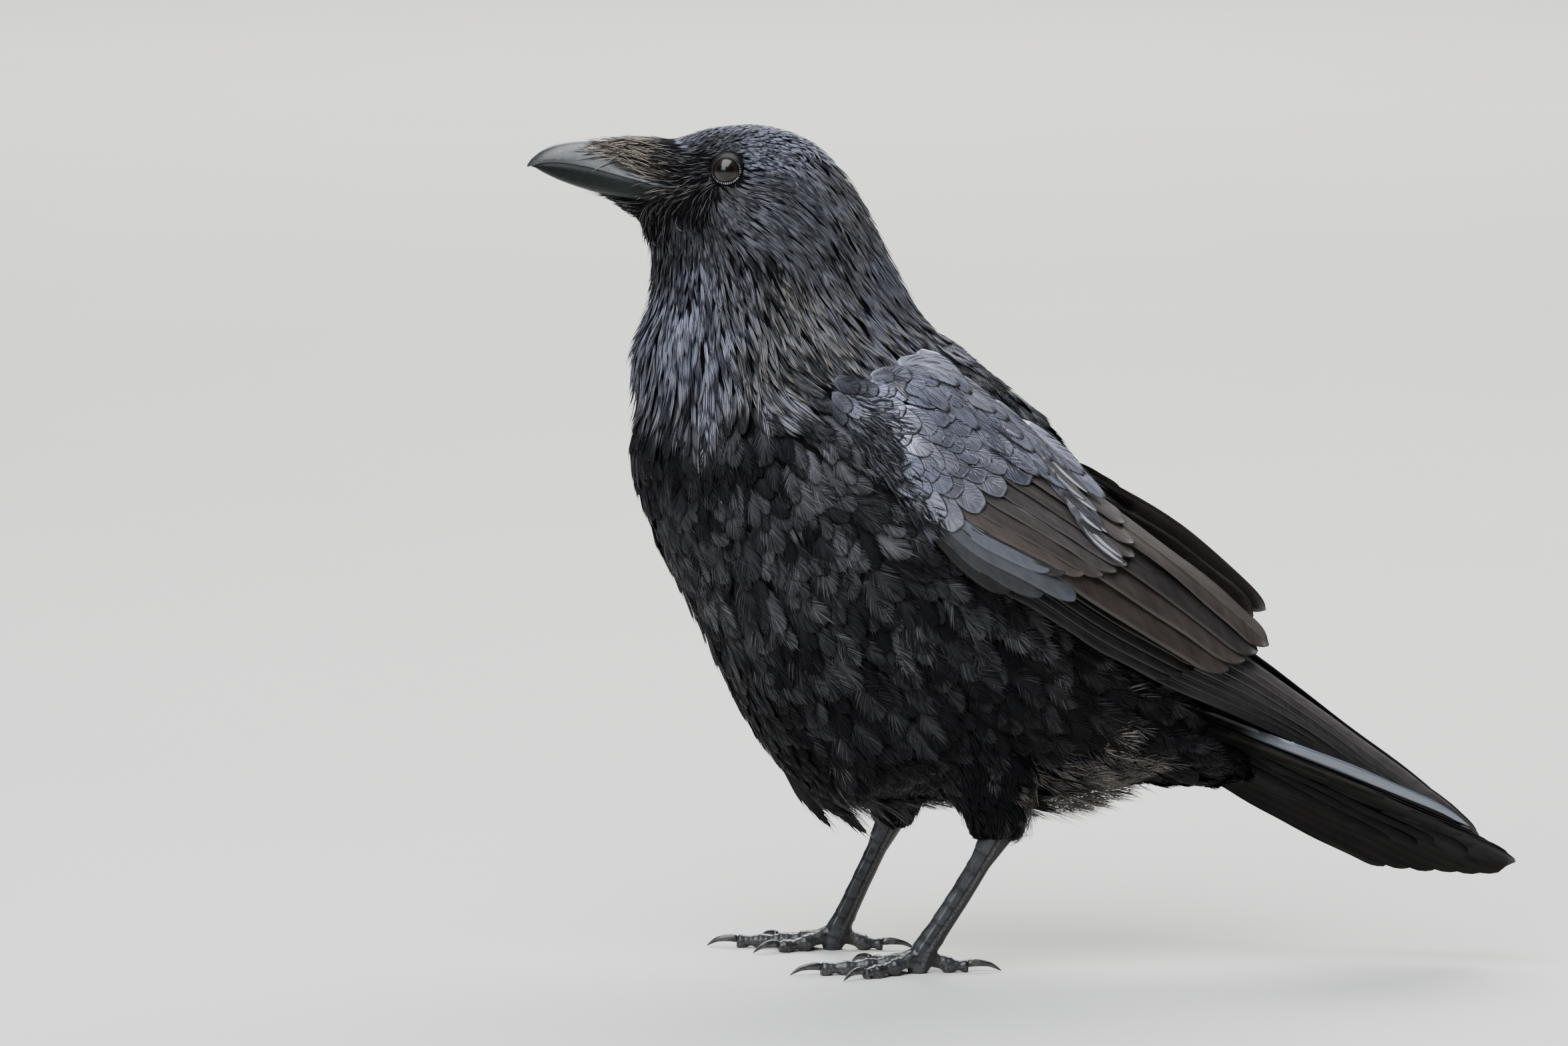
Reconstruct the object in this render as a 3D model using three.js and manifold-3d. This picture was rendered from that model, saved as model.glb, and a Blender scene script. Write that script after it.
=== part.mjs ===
// A carrion crow, life size, standing with its head up and its tail twisted a little to one side.
// Millimetres, +Z up. The bird faces -X, so its left side is at -Y, and it stands on z = 0.
// Every form is a three.js solid bent to a path of stations; neighbours are cut from each other
// with a hairline gap, so that each named part is a solid of its own.

import * as THREE from 'three';
import { mergeVertices } from 'three/addons/utils/BufferGeometryUtils.js';
import Module from 'manifold-3d';

const wasm = await Module();
wasm.setup();

// ---------------------------------------------------------------- driving dimensions

const GAP = 0.3;                 // hairline between two parts that touch
const LEFT = -1;
const RIGHT = 1;

const EYE_RADIUS = 7.0;          // eyeball, of which a 10 mm disc shows between the lids
const EYE_PLACE = { x: -90.3, y: 13.3, z: 311.8 };

const BILL_TIP = { x: -168.5, z: 312.2 };
const BILL_BASE_X = -105;        // how far back the bill runs under the face feathers
const BILL_HALF_WIDTH = 10;      // at the gape

const TARSUS = { depth: 8.6, width: 5.6 };   // scaled shank, front to back and across
const TOE_RADIUS = 3.0;
const CLAW_RADIUS = 1.9;

const TAIL_ROOT = { x: 60, z: 107 };
const TAIL_LENGTH = 171.5;         // longest feathers, from the root inside the rump
const TAIL_SLOPE = 23.3;         // degrees below level
const TAIL_ROLL = 38;            // degrees, left edge up
const TAIL_ARCH = 6.5;           // how far its edges droop below the middle pair
const TAIL_HALF_WIDTH = 30;
const VANE_THICKNESS = 0.9;      // of a flight feather's blade

const RIGHT_TERTIAL_LIFT = 10.5;    // the right wing's tertials stand a little higher on the back

// ---------------------------------------------------------------- geometry helpers

const vec = (x, y, z) => new THREE.Vector3(x, y, z);
const degrees = (angle) => THREE.MathUtils.degToRad(angle);
const mix = THREE.MathUtils.lerp;

/** A smooth curve through one value list of the stations, read by station number. */
function track(stations, read) {
  const curve = new THREE.CatmullRomCurve3(stations.map(read), false, 'catmullrom', 0.5);
  return (station) => curve.getPoint(THREE.MathUtils.clamp(station / (stations.length - 1), 0, 1));
}

/** Moves every vertex of a geometry by a function, and keeps its faces pointing out. */
function bend(geometry, place) {
  const at = geometry.attributes.position;
  const point = vec(0, 0, 0);
  for (let i = 0; i < at.count; i += 1) {
    point.copy(place(at.getX(i), at.getY(i), at.getZ(i)));
    at.setXYZ(i, point.x, point.y, point.z);
  }
  geometry.deleteAttribute('normal');
  geometry.deleteAttribute('uv');
  const merged = mergeVertices(geometry, 1e-4);
  return volume(merged) < 0 ? turnedOut(merged) : merged;
}

function volume(geometry) {
  const at = geometry.attributes.position;
  const index = geometry.index.array;
  const [a, b, c] = [vec(0, 0, 0), vec(0, 0, 0), vec(0, 0, 0)];
  let total = 0;
  for (let i = 0; i < index.length; i += 3) {
    a.fromBufferAttribute(at, index[i]);
    b.fromBufferAttribute(at, index[i + 1]);
    c.fromBufferAttribute(at, index[i + 2]);
    total += a.dot(b.cross(c)) / 6;
  }
  return total;
}

function turnedOut(geometry) {
  const index = geometry.index.array;
  for (let i = 0; i < index.length; i += 3) {
    [index[i], index[i + 1]] = [index[i + 1], index[i]];
  }
  return geometry;
}

/** A closed skin over rings: ring(t, angle) is a point on the wall, and reach 0 is a cap's centre. */
function skin(ring, rings, sides) {
  const geometry = new THREE.CylinderGeometry(1, 1, 1, sides, rings);
  return bend(geometry, (x, y, z) => ring(0.5 - y, Math.atan2(x, z), Math.hypot(x, z)));
}

function solid(geometry) {
  const mesh = new wasm.Mesh({
    numProp: 3,
    vertProperties: new Float32Array(geometry.attributes.position.array),
    triVerts: new Uint32Array(geometry.index.array),
  });
  return new wasm.Manifold(mesh);
}

const join = (solids) => solids.reduce((whole, next) => whole.add(next));
const cut = (from, ...tools) => tools.reduce((rest, tool) => rest.subtract(tool), from);

/** The largest body of a solid, so that a cut leaves no loose crumbs. */
function largest(form) {
  return form.decompose().reduce((best, next) => (next.volume() > best.volume() ? next : best));
}

const crow = new THREE.Group();

function material(name, colour, roughness) {
  return new THREE.MeshStandardMaterial({ name, color: colour, roughness, metalness: 0 });
}

const PLUMAGE = material('plumage', 0x17171b, 0.62);
const FLIGHT_FEATHER = material('flight_feather', 0x1d1a19, 0.5);
const BILL = material('bill', 0x2c2f33, 0.34);
const EYE = material('eye', 0x120b08, 0.05);
const LEG_SCALE = material('leg_scale', 0x16171a, 0.36);
const CLAW = material('claw', 0x1a1a1c, 0.3);

/** Adds a solid to the model as one named mesh. */
function part(name, form, surface) {
  const { vertProperties, triVerts } = largest(form).getMesh();
  const geometry = new THREE.BufferGeometry();
  geometry.setAttribute('position', new THREE.BufferAttribute(new Float32Array(vertProperties), 3));
  geometry.setIndex([...triVerts]);
  const mesh = new THREE.Mesh(geometry, surface);
  mesh.name = name;
  crow.add(mesh);
}

// ---------------------------------------------------------------- head, neck and trunk

// Sections of the feathered body from the bridge of the bill to the root of the tail. Each runs
// from the back line to the belly line; half is its half width, and sweep carries its two sides
// backwards, as the cheeks lie behind the forehead and the chin.
const BODY = [
  { name: 'bridge', back: [-125, 318.5], belly: [-137.5, 301], half: 4, sweep: 5 },
  { name: 'forehead', back: [-113, 321.5], belly: [-127.5, 293], half: 12, sweep: 9 },
  { name: 'lores', back: [-101.5, 326], belly: [-122.7, 285.2], half: 15.6, sweep: 12 },
  { name: 'brow', back: [-88, 328.4], belly: [-121, 277], half: 19.4, sweep: 11 },
  { name: 'crown', back: [-71, 327.2], belly: [-120.8, 268], half: 22.6, sweep: 8 },
  { name: 'cheek', back: [-54.5, 319.5], belly: [-122, 258.5], half: 25.8, sweep: 4 },
  { name: 'nape', back: [-41.5, 304.3], belly: [-125, 249], half: 29, sweep: 2 },
  { name: 'throat', back: [-28.8, 280.3], belly: [-128.7, 237], half: 34, sweep: 0 },
  { name: 'neck root', back: [-14, 251.6], belly: [-126.3, 219], half: 41, sweep: 0 },
  { name: 'shoulder', back: [8.3, 234.2], belly: [-128.6, 201], half: 48, sweep: 0 },
  { name: 'mantle', back: [30.3, 214.2], belly: [-125, 183], half: 53.5, sweep: 0 },
  { name: 'breast', back: [47.3, 192.2], belly: [-116.5, 162], half: 56.5, sweep: 0 },
  { name: 'back', back: [60, 172], belly: [-105.5, 140], half: 57, sweep: 0 },
  { name: 'flank', back: [70, 154], belly: [-94.5, 116.5], half: 55, sweep: 0 },
  { name: 'belly', back: [78, 140], belly: [-78.5, 88.5], half: 51, sweep: 0 },
  { name: 'thighs', back: [85, 129], belly: [-56, 64], half: 45.5, sweep: 0 },
  { name: 'underside', back: [91, 120], belly: [-22, 64.5], half: 39, sweep: 0 },
  { name: 'vent', back: [96, 111], belly: [24, 60.5], half: 30.5, sweep: 0 },
  { name: 'rump', back: [99.5, 104], belly: [56, 66.5], half: 21.5, sweep: 0 },
  { name: 'tail root', back: [101, 98], belly: [80, 80], half: 12, sweep: 0 },
];
const stationNumber = (name) => BODY.findIndex((station) => station.name === name);

const backLine = track(BODY, ({ back }) => vec(back[0], 0, back[1]));
const bellyLine = track(BODY, ({ belly }) => vec(belly[0], 0, belly[1]));
const fullness = track(BODY, ({ half, sweep }) => vec(half, sweep, half > 45 ? 0.14 : 0));

/** A point of the body's surface: angle 0 is the back, a half turn the belly. */
function bodyPoint(station, angle, reach, grow) {
  const back = backLine(station);
  const belly = bellyLine(station);
  const full = fullness(station);
  const up = back.clone().sub(belly).multiplyScalar(0.5);
  const across = Math.sin(angle) * (1 - full.z * reach * Math.cos(angle));
  return back.add(belly).multiplyScalar(0.5)
    .addScaledVector(up, reach * Math.cos(angle) * (1 + grow / up.length()))
    .add(vec(full.y * (1 - (reach * Math.cos(angle)) ** 2), reach * across * (full.x + grow), 0));
}

/** A length of the body between two stations, grown outwards on every side by grow. */
function bodyLength(from, to, rings, sides, grow = 0) {
  return solid(skin((t, angle, reach) => bodyPoint(mix(from, to, t), angle, reach, grow), rings, sides));
}

const HEAD_END = stationNumber('nape') - 0.2;
const NECK_END = stationNumber('neck root') + 0.35;
const BREAST_END = stationNumber('back') + 0.3;
const BODY_END = BODY.length - 1;
const CUT = 0.022;               // half of the hairline, in stations

const neck = bodyLength(HEAD_END + CUT, NECK_END - CUT, 5, 20);
const breast = bodyLength(NECK_END + CUT, BREAST_END - CUT, 6, 22);
const trunk = bodyLength(BREAST_END + CUT, BODY_END, 10, 22);
const bodyGrown = join([
  bodyLength(HEAD_END, NECK_END, 5, 20, GAP),
  bodyLength(NECK_END, BREAST_END, 6, 22, GAP),
  bodyLength(BREAST_END, BODY_END, 10, 22, GAP),
]);

// ---------------------------------------------------------------- bill and nasal bristles

// Sections of the bill from its hooked tip back to the gape: the culmen ridge, the cutting edge
// where the two halves meet, the lower ridge, and half the width.
const BILL_SECTIONS = [
  { x: BILL_TIP.x, culmen: 312.9, edge: 311.9, keel: 311.8, half: 0.6 },
  { x: -166.2, culmen: 315.7, edge: 312.6, keel: 312.2, half: 1.9 },
  { x: -161.5, culmen: 319.0, edge: 313.8, keel: 309.6, half: 3.7 },
  { x: -154.7, culmen: 321.6, edge: 313.9, keel: 306.5, half: 5.4 },
  { x: -145.0, culmen: 322.8, edge: 312.5, keel: 303.2, half: 7.0 },
  { x: -135.5, culmen: 322.7, edge: 310.1, keel: 300.9, half: 8.3 },
  { x: -124.0, culmen: 322.0, edge: 307.0, keel: 298.3, half: 9.2 },
  { x: -114.0, culmen: 321.0, edge: 304.0, keel: 294.8, half: 9.8 },
  { x: BILL_BASE_X, culmen: 318.5, edge: 301, keel: 291, half: BILL_HALF_WIDTH },
  { x: BILL_BASE_X + 8, culmen: 317, edge: 299, keel: 289.5, half: BILL_HALF_WIDTH },
];
const billHeights = track(BILL_SECTIONS, ({ culmen, edge, keel }) => vec(culmen, edge, keel));
const BILL_HEEL = BILL_SECTIONS.length - 2;
const billPlan = track(BILL_SECTIONS, ({ x, half }) => vec(x, half, 0));

/** Half of the bill: a vault from the cutting edge up to the culmen, or down to the keel. */
function billHalf(upper, grow = 0) {
  const start = upper ? 0 : 0.8;
  const step = (BILL_HEEL - start) / 9;
  const rings = grow > 0 ? 10 : 9;
  return solid(skin((t, angle, reach) => {
    const station = start + step * rings * t;
    const { x: culmen, y: edge, z: keel } = billHeights(station);
    const { x, y: half } = billPlan(station);
    const rise = Math.cos(angle) * reach;
    const vault = (upper ? culmen - edge : edge - keel) + grow;
    const floor = GAP / 2 - grow;
    const height = rise > 0 ? Math.max(floor, vault * rise ** 0.8) : floor;
    const y = Math.sin(angle) * reach * (half + grow);
    return vec(x, y, upper ? edge + height : edge - height);
  }, rings, 10));
}

const billUpper = billHalf(true);
const billLower = billHalf(false);
const billRoom = join([billHalf(true, GAP), billHalf(false, GAP)]);

/** The pad of stiff bristles that lies forwards over the base of the culmen and the nostrils. */
function bristlePad() {
  const front = vec(-137, 0, 317.8);
  const rear = vec(-101, 0, 311);
  return solid(skin((t, angle, reach) => {
    const centre = front.clone().lerp(rear, t);
    const depth = mix(4.8, 12, t ** 0.7);
    const half = mix(8.2, 14.6, t);
    const lift = Math.cos(angle) * reach * depth;
    return centre.add(vec(-lift * 0.35 * (1 - t), Math.sin(angle) * reach * half, lift));
  }, 4, 10));
}

// ---------------------------------------------------------------- eyes

function eyeball(side, grow = 0) {
  const ball = new THREE.SphereGeometry(EYE_RADIUS + grow, 12, 8);
  return solid(bend(ball, (x, y, z) => vec(EYE_PLACE.x + x, side * EYE_PLACE.y + z, EYE_PLACE.z + y)));
}

const headForm = join([bodyLength(0, HEAD_END - CUT, 11, 18), bristlePad()]);
const head = cut(headForm, billRoom, eyeball(LEFT, GAP), eyeball(RIGHT, GAP));

part('head', head, PLUMAGE);
part('neck', neck, PLUMAGE);
part('bill_upper', billUpper, BILL);
part('bill_lower', billLower, BILL);
part('eye_left', eyeball(LEFT), EYE);
part('eye_right', eyeball(RIGHT), EYE);

// ---------------------------------------------------------------- wings

/** A curved sheet along one side of the bird, with y outwards. It has a top edge and a low edge. */
function sheet(stations) {
  const top = track(stations, (station) => vec(...station.top));
  const low = track(stations, (station) => vec(...station.low));
  const bow = track(stations, (station) => vec(station.bow, 0, 0));
  return (along, across) => {
    const edge = top(along);
    const other = low(along);
    return edge.clone().add(other).multiplyScalar(0.5)
      .addScaledVector(edge.sub(other), across / 2)
      .add(vec(0, bow(along).x * (1 - across ** 2), 0));
  };
}

// The folded wing, from the shoulder to the ends of the tertials.
const wingSheet = sheet([
  { top: [-38, 47, 237], low: [-42, 50, 213], bow: 3 },
  { top: [-14, 36, 237], low: [-20, 58, 189], bow: 8 },
  { top: [8, 31, 222], low: [3, 60, 163], bow: 10 },
  { top: [31, 24, 205], low: [31, 56, 146.5], bow: 10.5 },
  { top: [55, 17.5, 188], low: [57, 47.5, 129], bow: 10 },
  { top: [86, 13, 164.5], low: [83, 39, 116], bow: 6.5 },
  { top: [109, 11, 144], low: [104, 32, 107], bow: 4 },
  { top: [122, 10, 131], low: [118, 26, 106], bow: 2.5 },
]);

// The bundle of primaries, from under the secondaries to the wing tip.
const primarySheet = sheet([
  { top: [31, 41, 174], low: [26, 45, 147], bow: 1 },
  { top: [68, 29, 147], low: [68, 33.5, 121], bow: 1.5 },
  { top: [107, 20, 127], low: [107, 25, 102], bow: 1.5 },
  { top: [135, 13, 106.5], low: [135, 19, 89], bow: 1 },
  { top: [162, 10, 85.5], low: [160, 15, 73], bow: 0.5 },
  { top: [185, 9, 67], low: [183, 12.5, 59.5], bow: 0 },
  { top: [204.5, 8, 53], low: [202.5, 10.5, 48], bow: 0 },
]);

/** How much a point of the folded wing is raised on each side. */
function lift(surface, side, along, across) {
  if (side === LEFT || surface === primarySheet) return 0;
  const { smoothstep } = THREE.MathUtils;
  return RIGHT_TERTIAL_LIFT * smoothstep(along, 2.5, 5.4) * smoothstep(across, -1, 0.8);
}

/** A point a given depth under a sheet's outer face, moved sideways across it, on one side. */
function onSheet(surface, side, along, across, sideways, depth) {
  const step = 0.02;
  const here = surface(along, across);
  const forward = surface(along + step, across).sub(surface(along - step, across)).normalize();
  const upward = surface(along, across + step).sub(surface(along, across - step)).normalize();
  const out = upward.clone().cross(forward).normalize();
  if (out.y < 0) out.negate();
  const point = here.addScaledVector(upward, sideways).addScaledVector(out, -depth);
  return vec(point.x, side * point.y, point.z + lift(surface, side, along, across));
}

/** The covered arm of the wing: a thick patch of the sheet, rounded at its rim. */
function wingArm(side, grow = 0) {
  const [from, to, low, high] = [0, 2.55, -0.88, 0.98];
  const thick = 16;
  return solid(skin((t, angle, reach) => {
    const along = mix(from, to + grow / 25, t);
    const swell = Math.min(1, 0.55 + 2.2 * Math.sqrt(t));
    const across = mix(low, high, 0.5 + 0.5 * Math.cos(angle) * reach * swell);
    const face = Math.sin(angle) * reach;
    const depth = 1.2 * (1 - Math.abs(face)) + thick * THREE.MathUtils.clamp(-face * 1.6, 0, 1);
    return onSheet(wingSheet, side, along, across, grow * Math.cos(angle), depth - grow);
  }, 6, 14));
}

/**
 * A fan of overlapping feathers as one shingled board. place(along, across, depth) is a point of it;
 * root and tip are its two ends along, each from the low side to the high one, and spread its low
 * and high sides across. Every feather is cambered, and round at its tip by the size of the notch.
 */
function fan(place, { count, root, tip, spread, narrowing = 1, depth, notch = 0.2, rows = 4 }, grow = 0) {
  const columns = 3 * count;
  const reach = grow / 20;
  const board = new THREE.BoxGeometry(1, 1, 1, columns, 1, rows);
  return solid(bend(board, (x, y, z) => {
    const u = x + 0.5;
    const s = 1 - (0.5 - z) ** 1.5;
    const column = Math.round(u * columns);
    const ridge = column % 3 === 0 ? 0 : 1;
    const feather = Math.min(count - 1, Math.floor(u * count));
    const longest = Array.isArray(tip) ? tip[feather] : tip(feather / (count - 1));
    const end = longest - (ridge ? 0 : notch) + reach;
    const middle = (spread[0] + spread[1]) / 2;
    const wide = mix(1, narrowing, s) * (spread[1] - spread[0]);
    const across = middle + wide * (u - 0.5) * (1 + 2 * reach);
    const level = depth + 0.55 * (1 - ridge) + (0.5 - y) * VANE_THICKNESS - 2 * y * grow;
    return place(mix(mix(root[0], root[1], u) - reach, end, s), across, level);
  }));
}

// Feather groups of a wing from the outermost layer inwards.
const WING_FANS = {
  alula: { count: 3, root: [1.5, 1.4], tip: [3.45, 3.25, 2.95], spread: [-1.04, -0.62], depth: 0.9, rows: 3 },
  greater_coverts: {
    count: 4, root: [2.57, 2.57], tip: [4.25, 4.2, 4.1, 3.9], spread: [-0.56, 0.85], depth: 0.9, rows: 3,
  },
  tertials: {
    count: 4, root: [2.57, 2.57], tip: [6.05, 6.35, 6.65, 6.95], spread: [-0.42, 1], depth: 2.9, rows: 3,
  },
  secondaries: {
    count: 4, root: [2.57, 2.57], tip: [5.05, 5.4, 5.7, 5.95], spread: [-1, 0.1], depth: 4.9, rows: 3,
  },
};
const PRIMARY_FAN = {
  count: 4, root: [0.8, 0.8], tip: [4.4, 5.4, 6, 5.3], spread: [-1, 1], depth: 0.4, notch: 0.3,
};

const wingGroup = (side, shape) => (grow) => fan(
  (along, across, depth) => onSheet(wingSheet, side, along, across, 0, depth), shape, grow);
const primaryGroup = (side) => (grow) => fan(
  (along, across, depth) => onSheet(primarySheet, side, along, across, 0, depth), PRIMARY_FAN, grow);

/** Every group of one wing, each cut clear of the layers over it and of the body. */
function wing(side, label) {
  const layers = [];
  const lay = (name, shape, surface) => {
    part(`${name}_${label}`, cut(shape(0), bodyGrown, ...layers), surface);
    layers.push(shape(GAP), shape(0));
  };
  lay('wing_coverts', (grow) => wingArm(side, grow), PLUMAGE);
  Object.entries(WING_FANS).forEach(([name, shape]) => lay(name, wingGroup(side, shape), FLIGHT_FEATHER));
  lay('primaries', primaryGroup(side), FLIGHT_FEATHER);
  return layers;
}

part('breast', breast, PLUMAGE);
part('trunk', trunk, PLUMAGE);
const wingLayers = [...wing(LEFT, 'left'), ...wing(RIGHT, 'right')];

// ---------------------------------------------------------------- tail

const TAIL_FAN = {
  count: 8,
  root: [0, 0],
  tip: [35, 24, 13, 3, 0, 12, 28, 42].map((shorter) => TAIL_LENGTH - shorter),
  spread: [-0.74, 0.75],
  narrowing: 1.4,
  depth: 0,
  notch: 5,
};

const tailAlong = vec(Math.cos(degrees(TAIL_SLOPE)), 0, -Math.sin(degrees(TAIL_SLOPE)));
const tailAcross = vec(0, 1, 0).applyAxisAngle(tailAlong, degrees(-TAIL_ROLL));
const tailUp = tailAlong.clone().cross(tailAcross);

/** A point of the tail: along its middle from the root, across to the right, and above it. */
function onTail(along, across, above) {
  const droop = TAIL_ARCH * Math.abs(across / TAIL_HALF_WIDTH) ** 1.6;
  return vec(TAIL_ROOT.x, 0, TAIL_ROOT.z)
    .addScaledVector(tailAlong, along)
    .addScaledVector(tailAcross, across)
    .addScaledVector(tailUp, above - droop);
}

/** Soft feathers over or under the base of the tail: a flattened drop along it. */
function tailCoverts({ from, to, half, thick, above }) {
  return solid(skin((t, angle, reach) => {
    const fill = Math.sqrt(Math.max(0.02, 1 - t ** 2.4));
    const across = Math.sin(angle) * reach * half * fill;
    return onTail(mix(from, to, t), across, above(t) + Math.cos(angle) * reach * thick * fill);
  }, 5, 12));
}

const tail = fan((along, across, depth) => onTail(along, across * TAIL_HALF_WIDTH, -depth), TAIL_FAN);
const over = tailCoverts({ from: 8, to: 72, half: 21, thick: 5, above: () => 5.6 });
const under = tailCoverts({ from: -6, to: 60, half: 21, thick: 9, above: (t) => mix(-22, -10, t) });
const overGrown = tailCoverts({ from: 8, to: 72.4, half: 21.3, thick: 5.3, above: () => 5.6 });
const underGrown = tailCoverts({ from: -6, to: 60.4, half: 21.3, thick: 9.3, above: (t) => mix(-22, -10, t) });

part('tail_feathers', cut(tail, bodyGrown, overGrown, underGrown, ...wingLayers), FLIGHT_FEATHER);
part('uppertail_coverts', cut(over, bodyGrown), PLUMAGE);
part('undertail_coverts', cut(under, bodyGrown), PLUMAGE);

// ---------------------------------------------------------------- legs and feet

/** A rod through stations of centre, half depth and half width, with a flat sole if it meets z = 0. */
function rod(stations, rings, sides, grow = 0) {
  const centre = track(stations, ({ at }) => vec(...at));
  const size = track(stations, ({ depth, width }) => vec(depth, width, 0));
  const last = stations.length - 1;
  return solid(skin((t, turned, reach) => {
    const angle = turned + Math.PI / sides;
    const here = centre(t * last);
    const forward = centre(Math.min(last, t * last + 0.05)).sub(centre(Math.max(0, t * last - 0.05)));
    const sideways = vec(-forward.y, forward.x, 0).normalize();
    const level = stations[0].turn === undefined ? sideways : vec(0, 1, 0).applyAxisAngle(vec(0, 0, 1), degrees(stations[0].turn));
    const up = forward.normalize().clone().cross(level).normalize();
    const { x: depth, y: width } = size(t * last);
    here.addScaledVector(up, reach * Math.cos(angle) * (depth + grow));
    here.addScaledVector(level, reach * Math.sin(angle) * (width + grow));
    here.addScaledVector(forward, t === 0 ? -grow : grow * Math.floor(t));
    return vec(here.x, here.y, Math.max(0, here.z));
  }, rings, sides));
}

const LEGS = [
  {
    side: LEFT,
    label: 'left',
    bulk: 25.5,
    knee: [8, -33, 96],
    ankle: [14.8, -28, 56.5],
    shin: [-0.3, -27, 30.6],
    ball: [-14.2, -27, 9],
    turn: 0,
    heading: 189,
    spread: { inner: -48, middle: 0, outer: 27, hind: 176 },
  },
  {
    side: RIGHT,
    label: 'right',
    bulk: 20.5,
    knee: [-19, 33, 92],
    ankle: [-26.2, 28, 53],
    shin: [-38.8, 27, 26.5],
    ball: [-46.9, 27, 9],
    turn: 35,
    heading: 172,
    spread: { inner: 27, middle: 0, outer: -26, hind: 184 },
  },
];
const TOES = {
  inner: { length: 23, claw: 10.5, radius: 0.92 },
  middle: { length: 38, claw: 12.5, radius: 1 },
  outer: { length: 26, claw: 10, radius: 0.92 },
  hind: { length: 19, claw: 13.5, radius: 0.96 },
};

function leg({ label, bulk, knee, ankle, shin, ball, turn, heading, spread }) {
  const thigh = (grow) => rod([
    { at: knee, depth: bulk, width: 14, turn: 0 },
    { at: [mix(knee[0], ankle[0], 0.42), mix(knee[1], ankle[1], 0.4), mix(knee[2], ankle[2], 0.42)], depth: bulk * 0.78, width: 12 },
    { at: [mix(knee[0], ankle[0], 0.8), mix(knee[1], ankle[1], 0.8), mix(knee[2], ankle[2], 0.8)], depth: bulk * 0.53, width: 9.6 },
    { at: [mix(ankle[0], shin[0], 0.1), ankle[1], mix(ankle[2], shin[2], 0.12)], depth: bulk * 0.34, width: 6.2 },
  ], 4, 10, grow);
  const shank = (grow) => rod([
    { at: [ankle[0], ankle[1], ankle[2] + 4.5], depth: 5.4, width: 3.2, turn },
    { at: ankle, depth: 6.8, width: 4.1 },
    { at: [mix(ankle[0], shin[0], 0.5), ankle[1], mix(ankle[2], shin[2], 0.5)], depth: TARSUS.depth / 2, width: TARSUS.width / 2 },
    { at: shin, depth: TARSUS.depth / 2, width: TARSUS.width / 2 },
    { at: [mix(shin[0], ball[0], 0.65), ball[1], mix(shin[2], ball[2], 0.65)], depth: TARSUS.depth / 2 + 0.1, width: TARSUS.width / 2 + 0.4 },
    { at: ball, depth: 5.2, width: 4.4 },
    { at: [ball[0] - 2.5, ball[1], 2.5], depth: 4.6, width: 4.4 },
    { at: [ball[0] - 3, ball[1], -1], depth: 3.6, width: 3.6 },
  ], 7, 8, grow);
  part(`thigh_${label}`, cut(thigh(0), bodyGrown, shank(GAP)), PLUMAGE);
  part(`tarsus_${label}`, shank(0), LEG_SCALE);

  const made = [shank(GAP)];
  Object.entries(TOES).forEach(([name, { length, claw, radius }]) => {
    const way = degrees(heading + spread[name]);
    const on = (reach, z) => [ball[0] - 2.5 + reach * Math.cos(way), ball[1] + reach * Math.sin(way), z];
    const r = TOE_RADIUS * radius;
    const toe = (grow) => rod([
      { at: on(1, 7), depth: 3, width: 3 },
      { at: on(7, 4.6), depth: r, width: r },
      { at: on(7 + (length - 7) / 2, r * 0.86), depth: r, width: r },
      { at: on(length, r * 0.72), depth: r * 0.86, width: r * 0.84 },
    ], 4, 8, grow);
    const nail = rod([
      { at: on(length - 1.5, 3.1), depth: 1.5, width: 1.2 },
      { at: on(length + claw * 0.25, 3.7), depth: CLAW_RADIUS, width: CLAW_RADIUS * 0.72 },
      { at: on(length + claw * 0.68, 3.1), depth: CLAW_RADIUS * 0.66, width: CLAW_RADIUS * 0.5 },
      { at: on(length + claw, 0.3), depth: 0.3, width: 0.3 },
    ], 3, 6);
    part(`toe_${name}_${label}`, cut(toe(0), ...made), LEG_SCALE);
    part(`claw_${name}_${label}`, cut(nail, toe(GAP)), CLAW);
    made.push(toe(GAP));
  });
}
LEGS.forEach(leg);

// ---------------------------------------------------------------- stance

// The feet stand on z = 0 and the body's plan is centred on the origin.
const extent = new THREE.Box3().setFromObject(crow);
const centre = extent.getCenter(vec(0, 0, 0));
crow.position.set(-centre.x, -centre.y, 0);

export default crow;
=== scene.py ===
import math

import bmesh
import bpy
import numpy as np
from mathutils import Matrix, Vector
from mathutils.bvhtree import BVHTree
from mathutils.kdtree import KDTree


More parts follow.
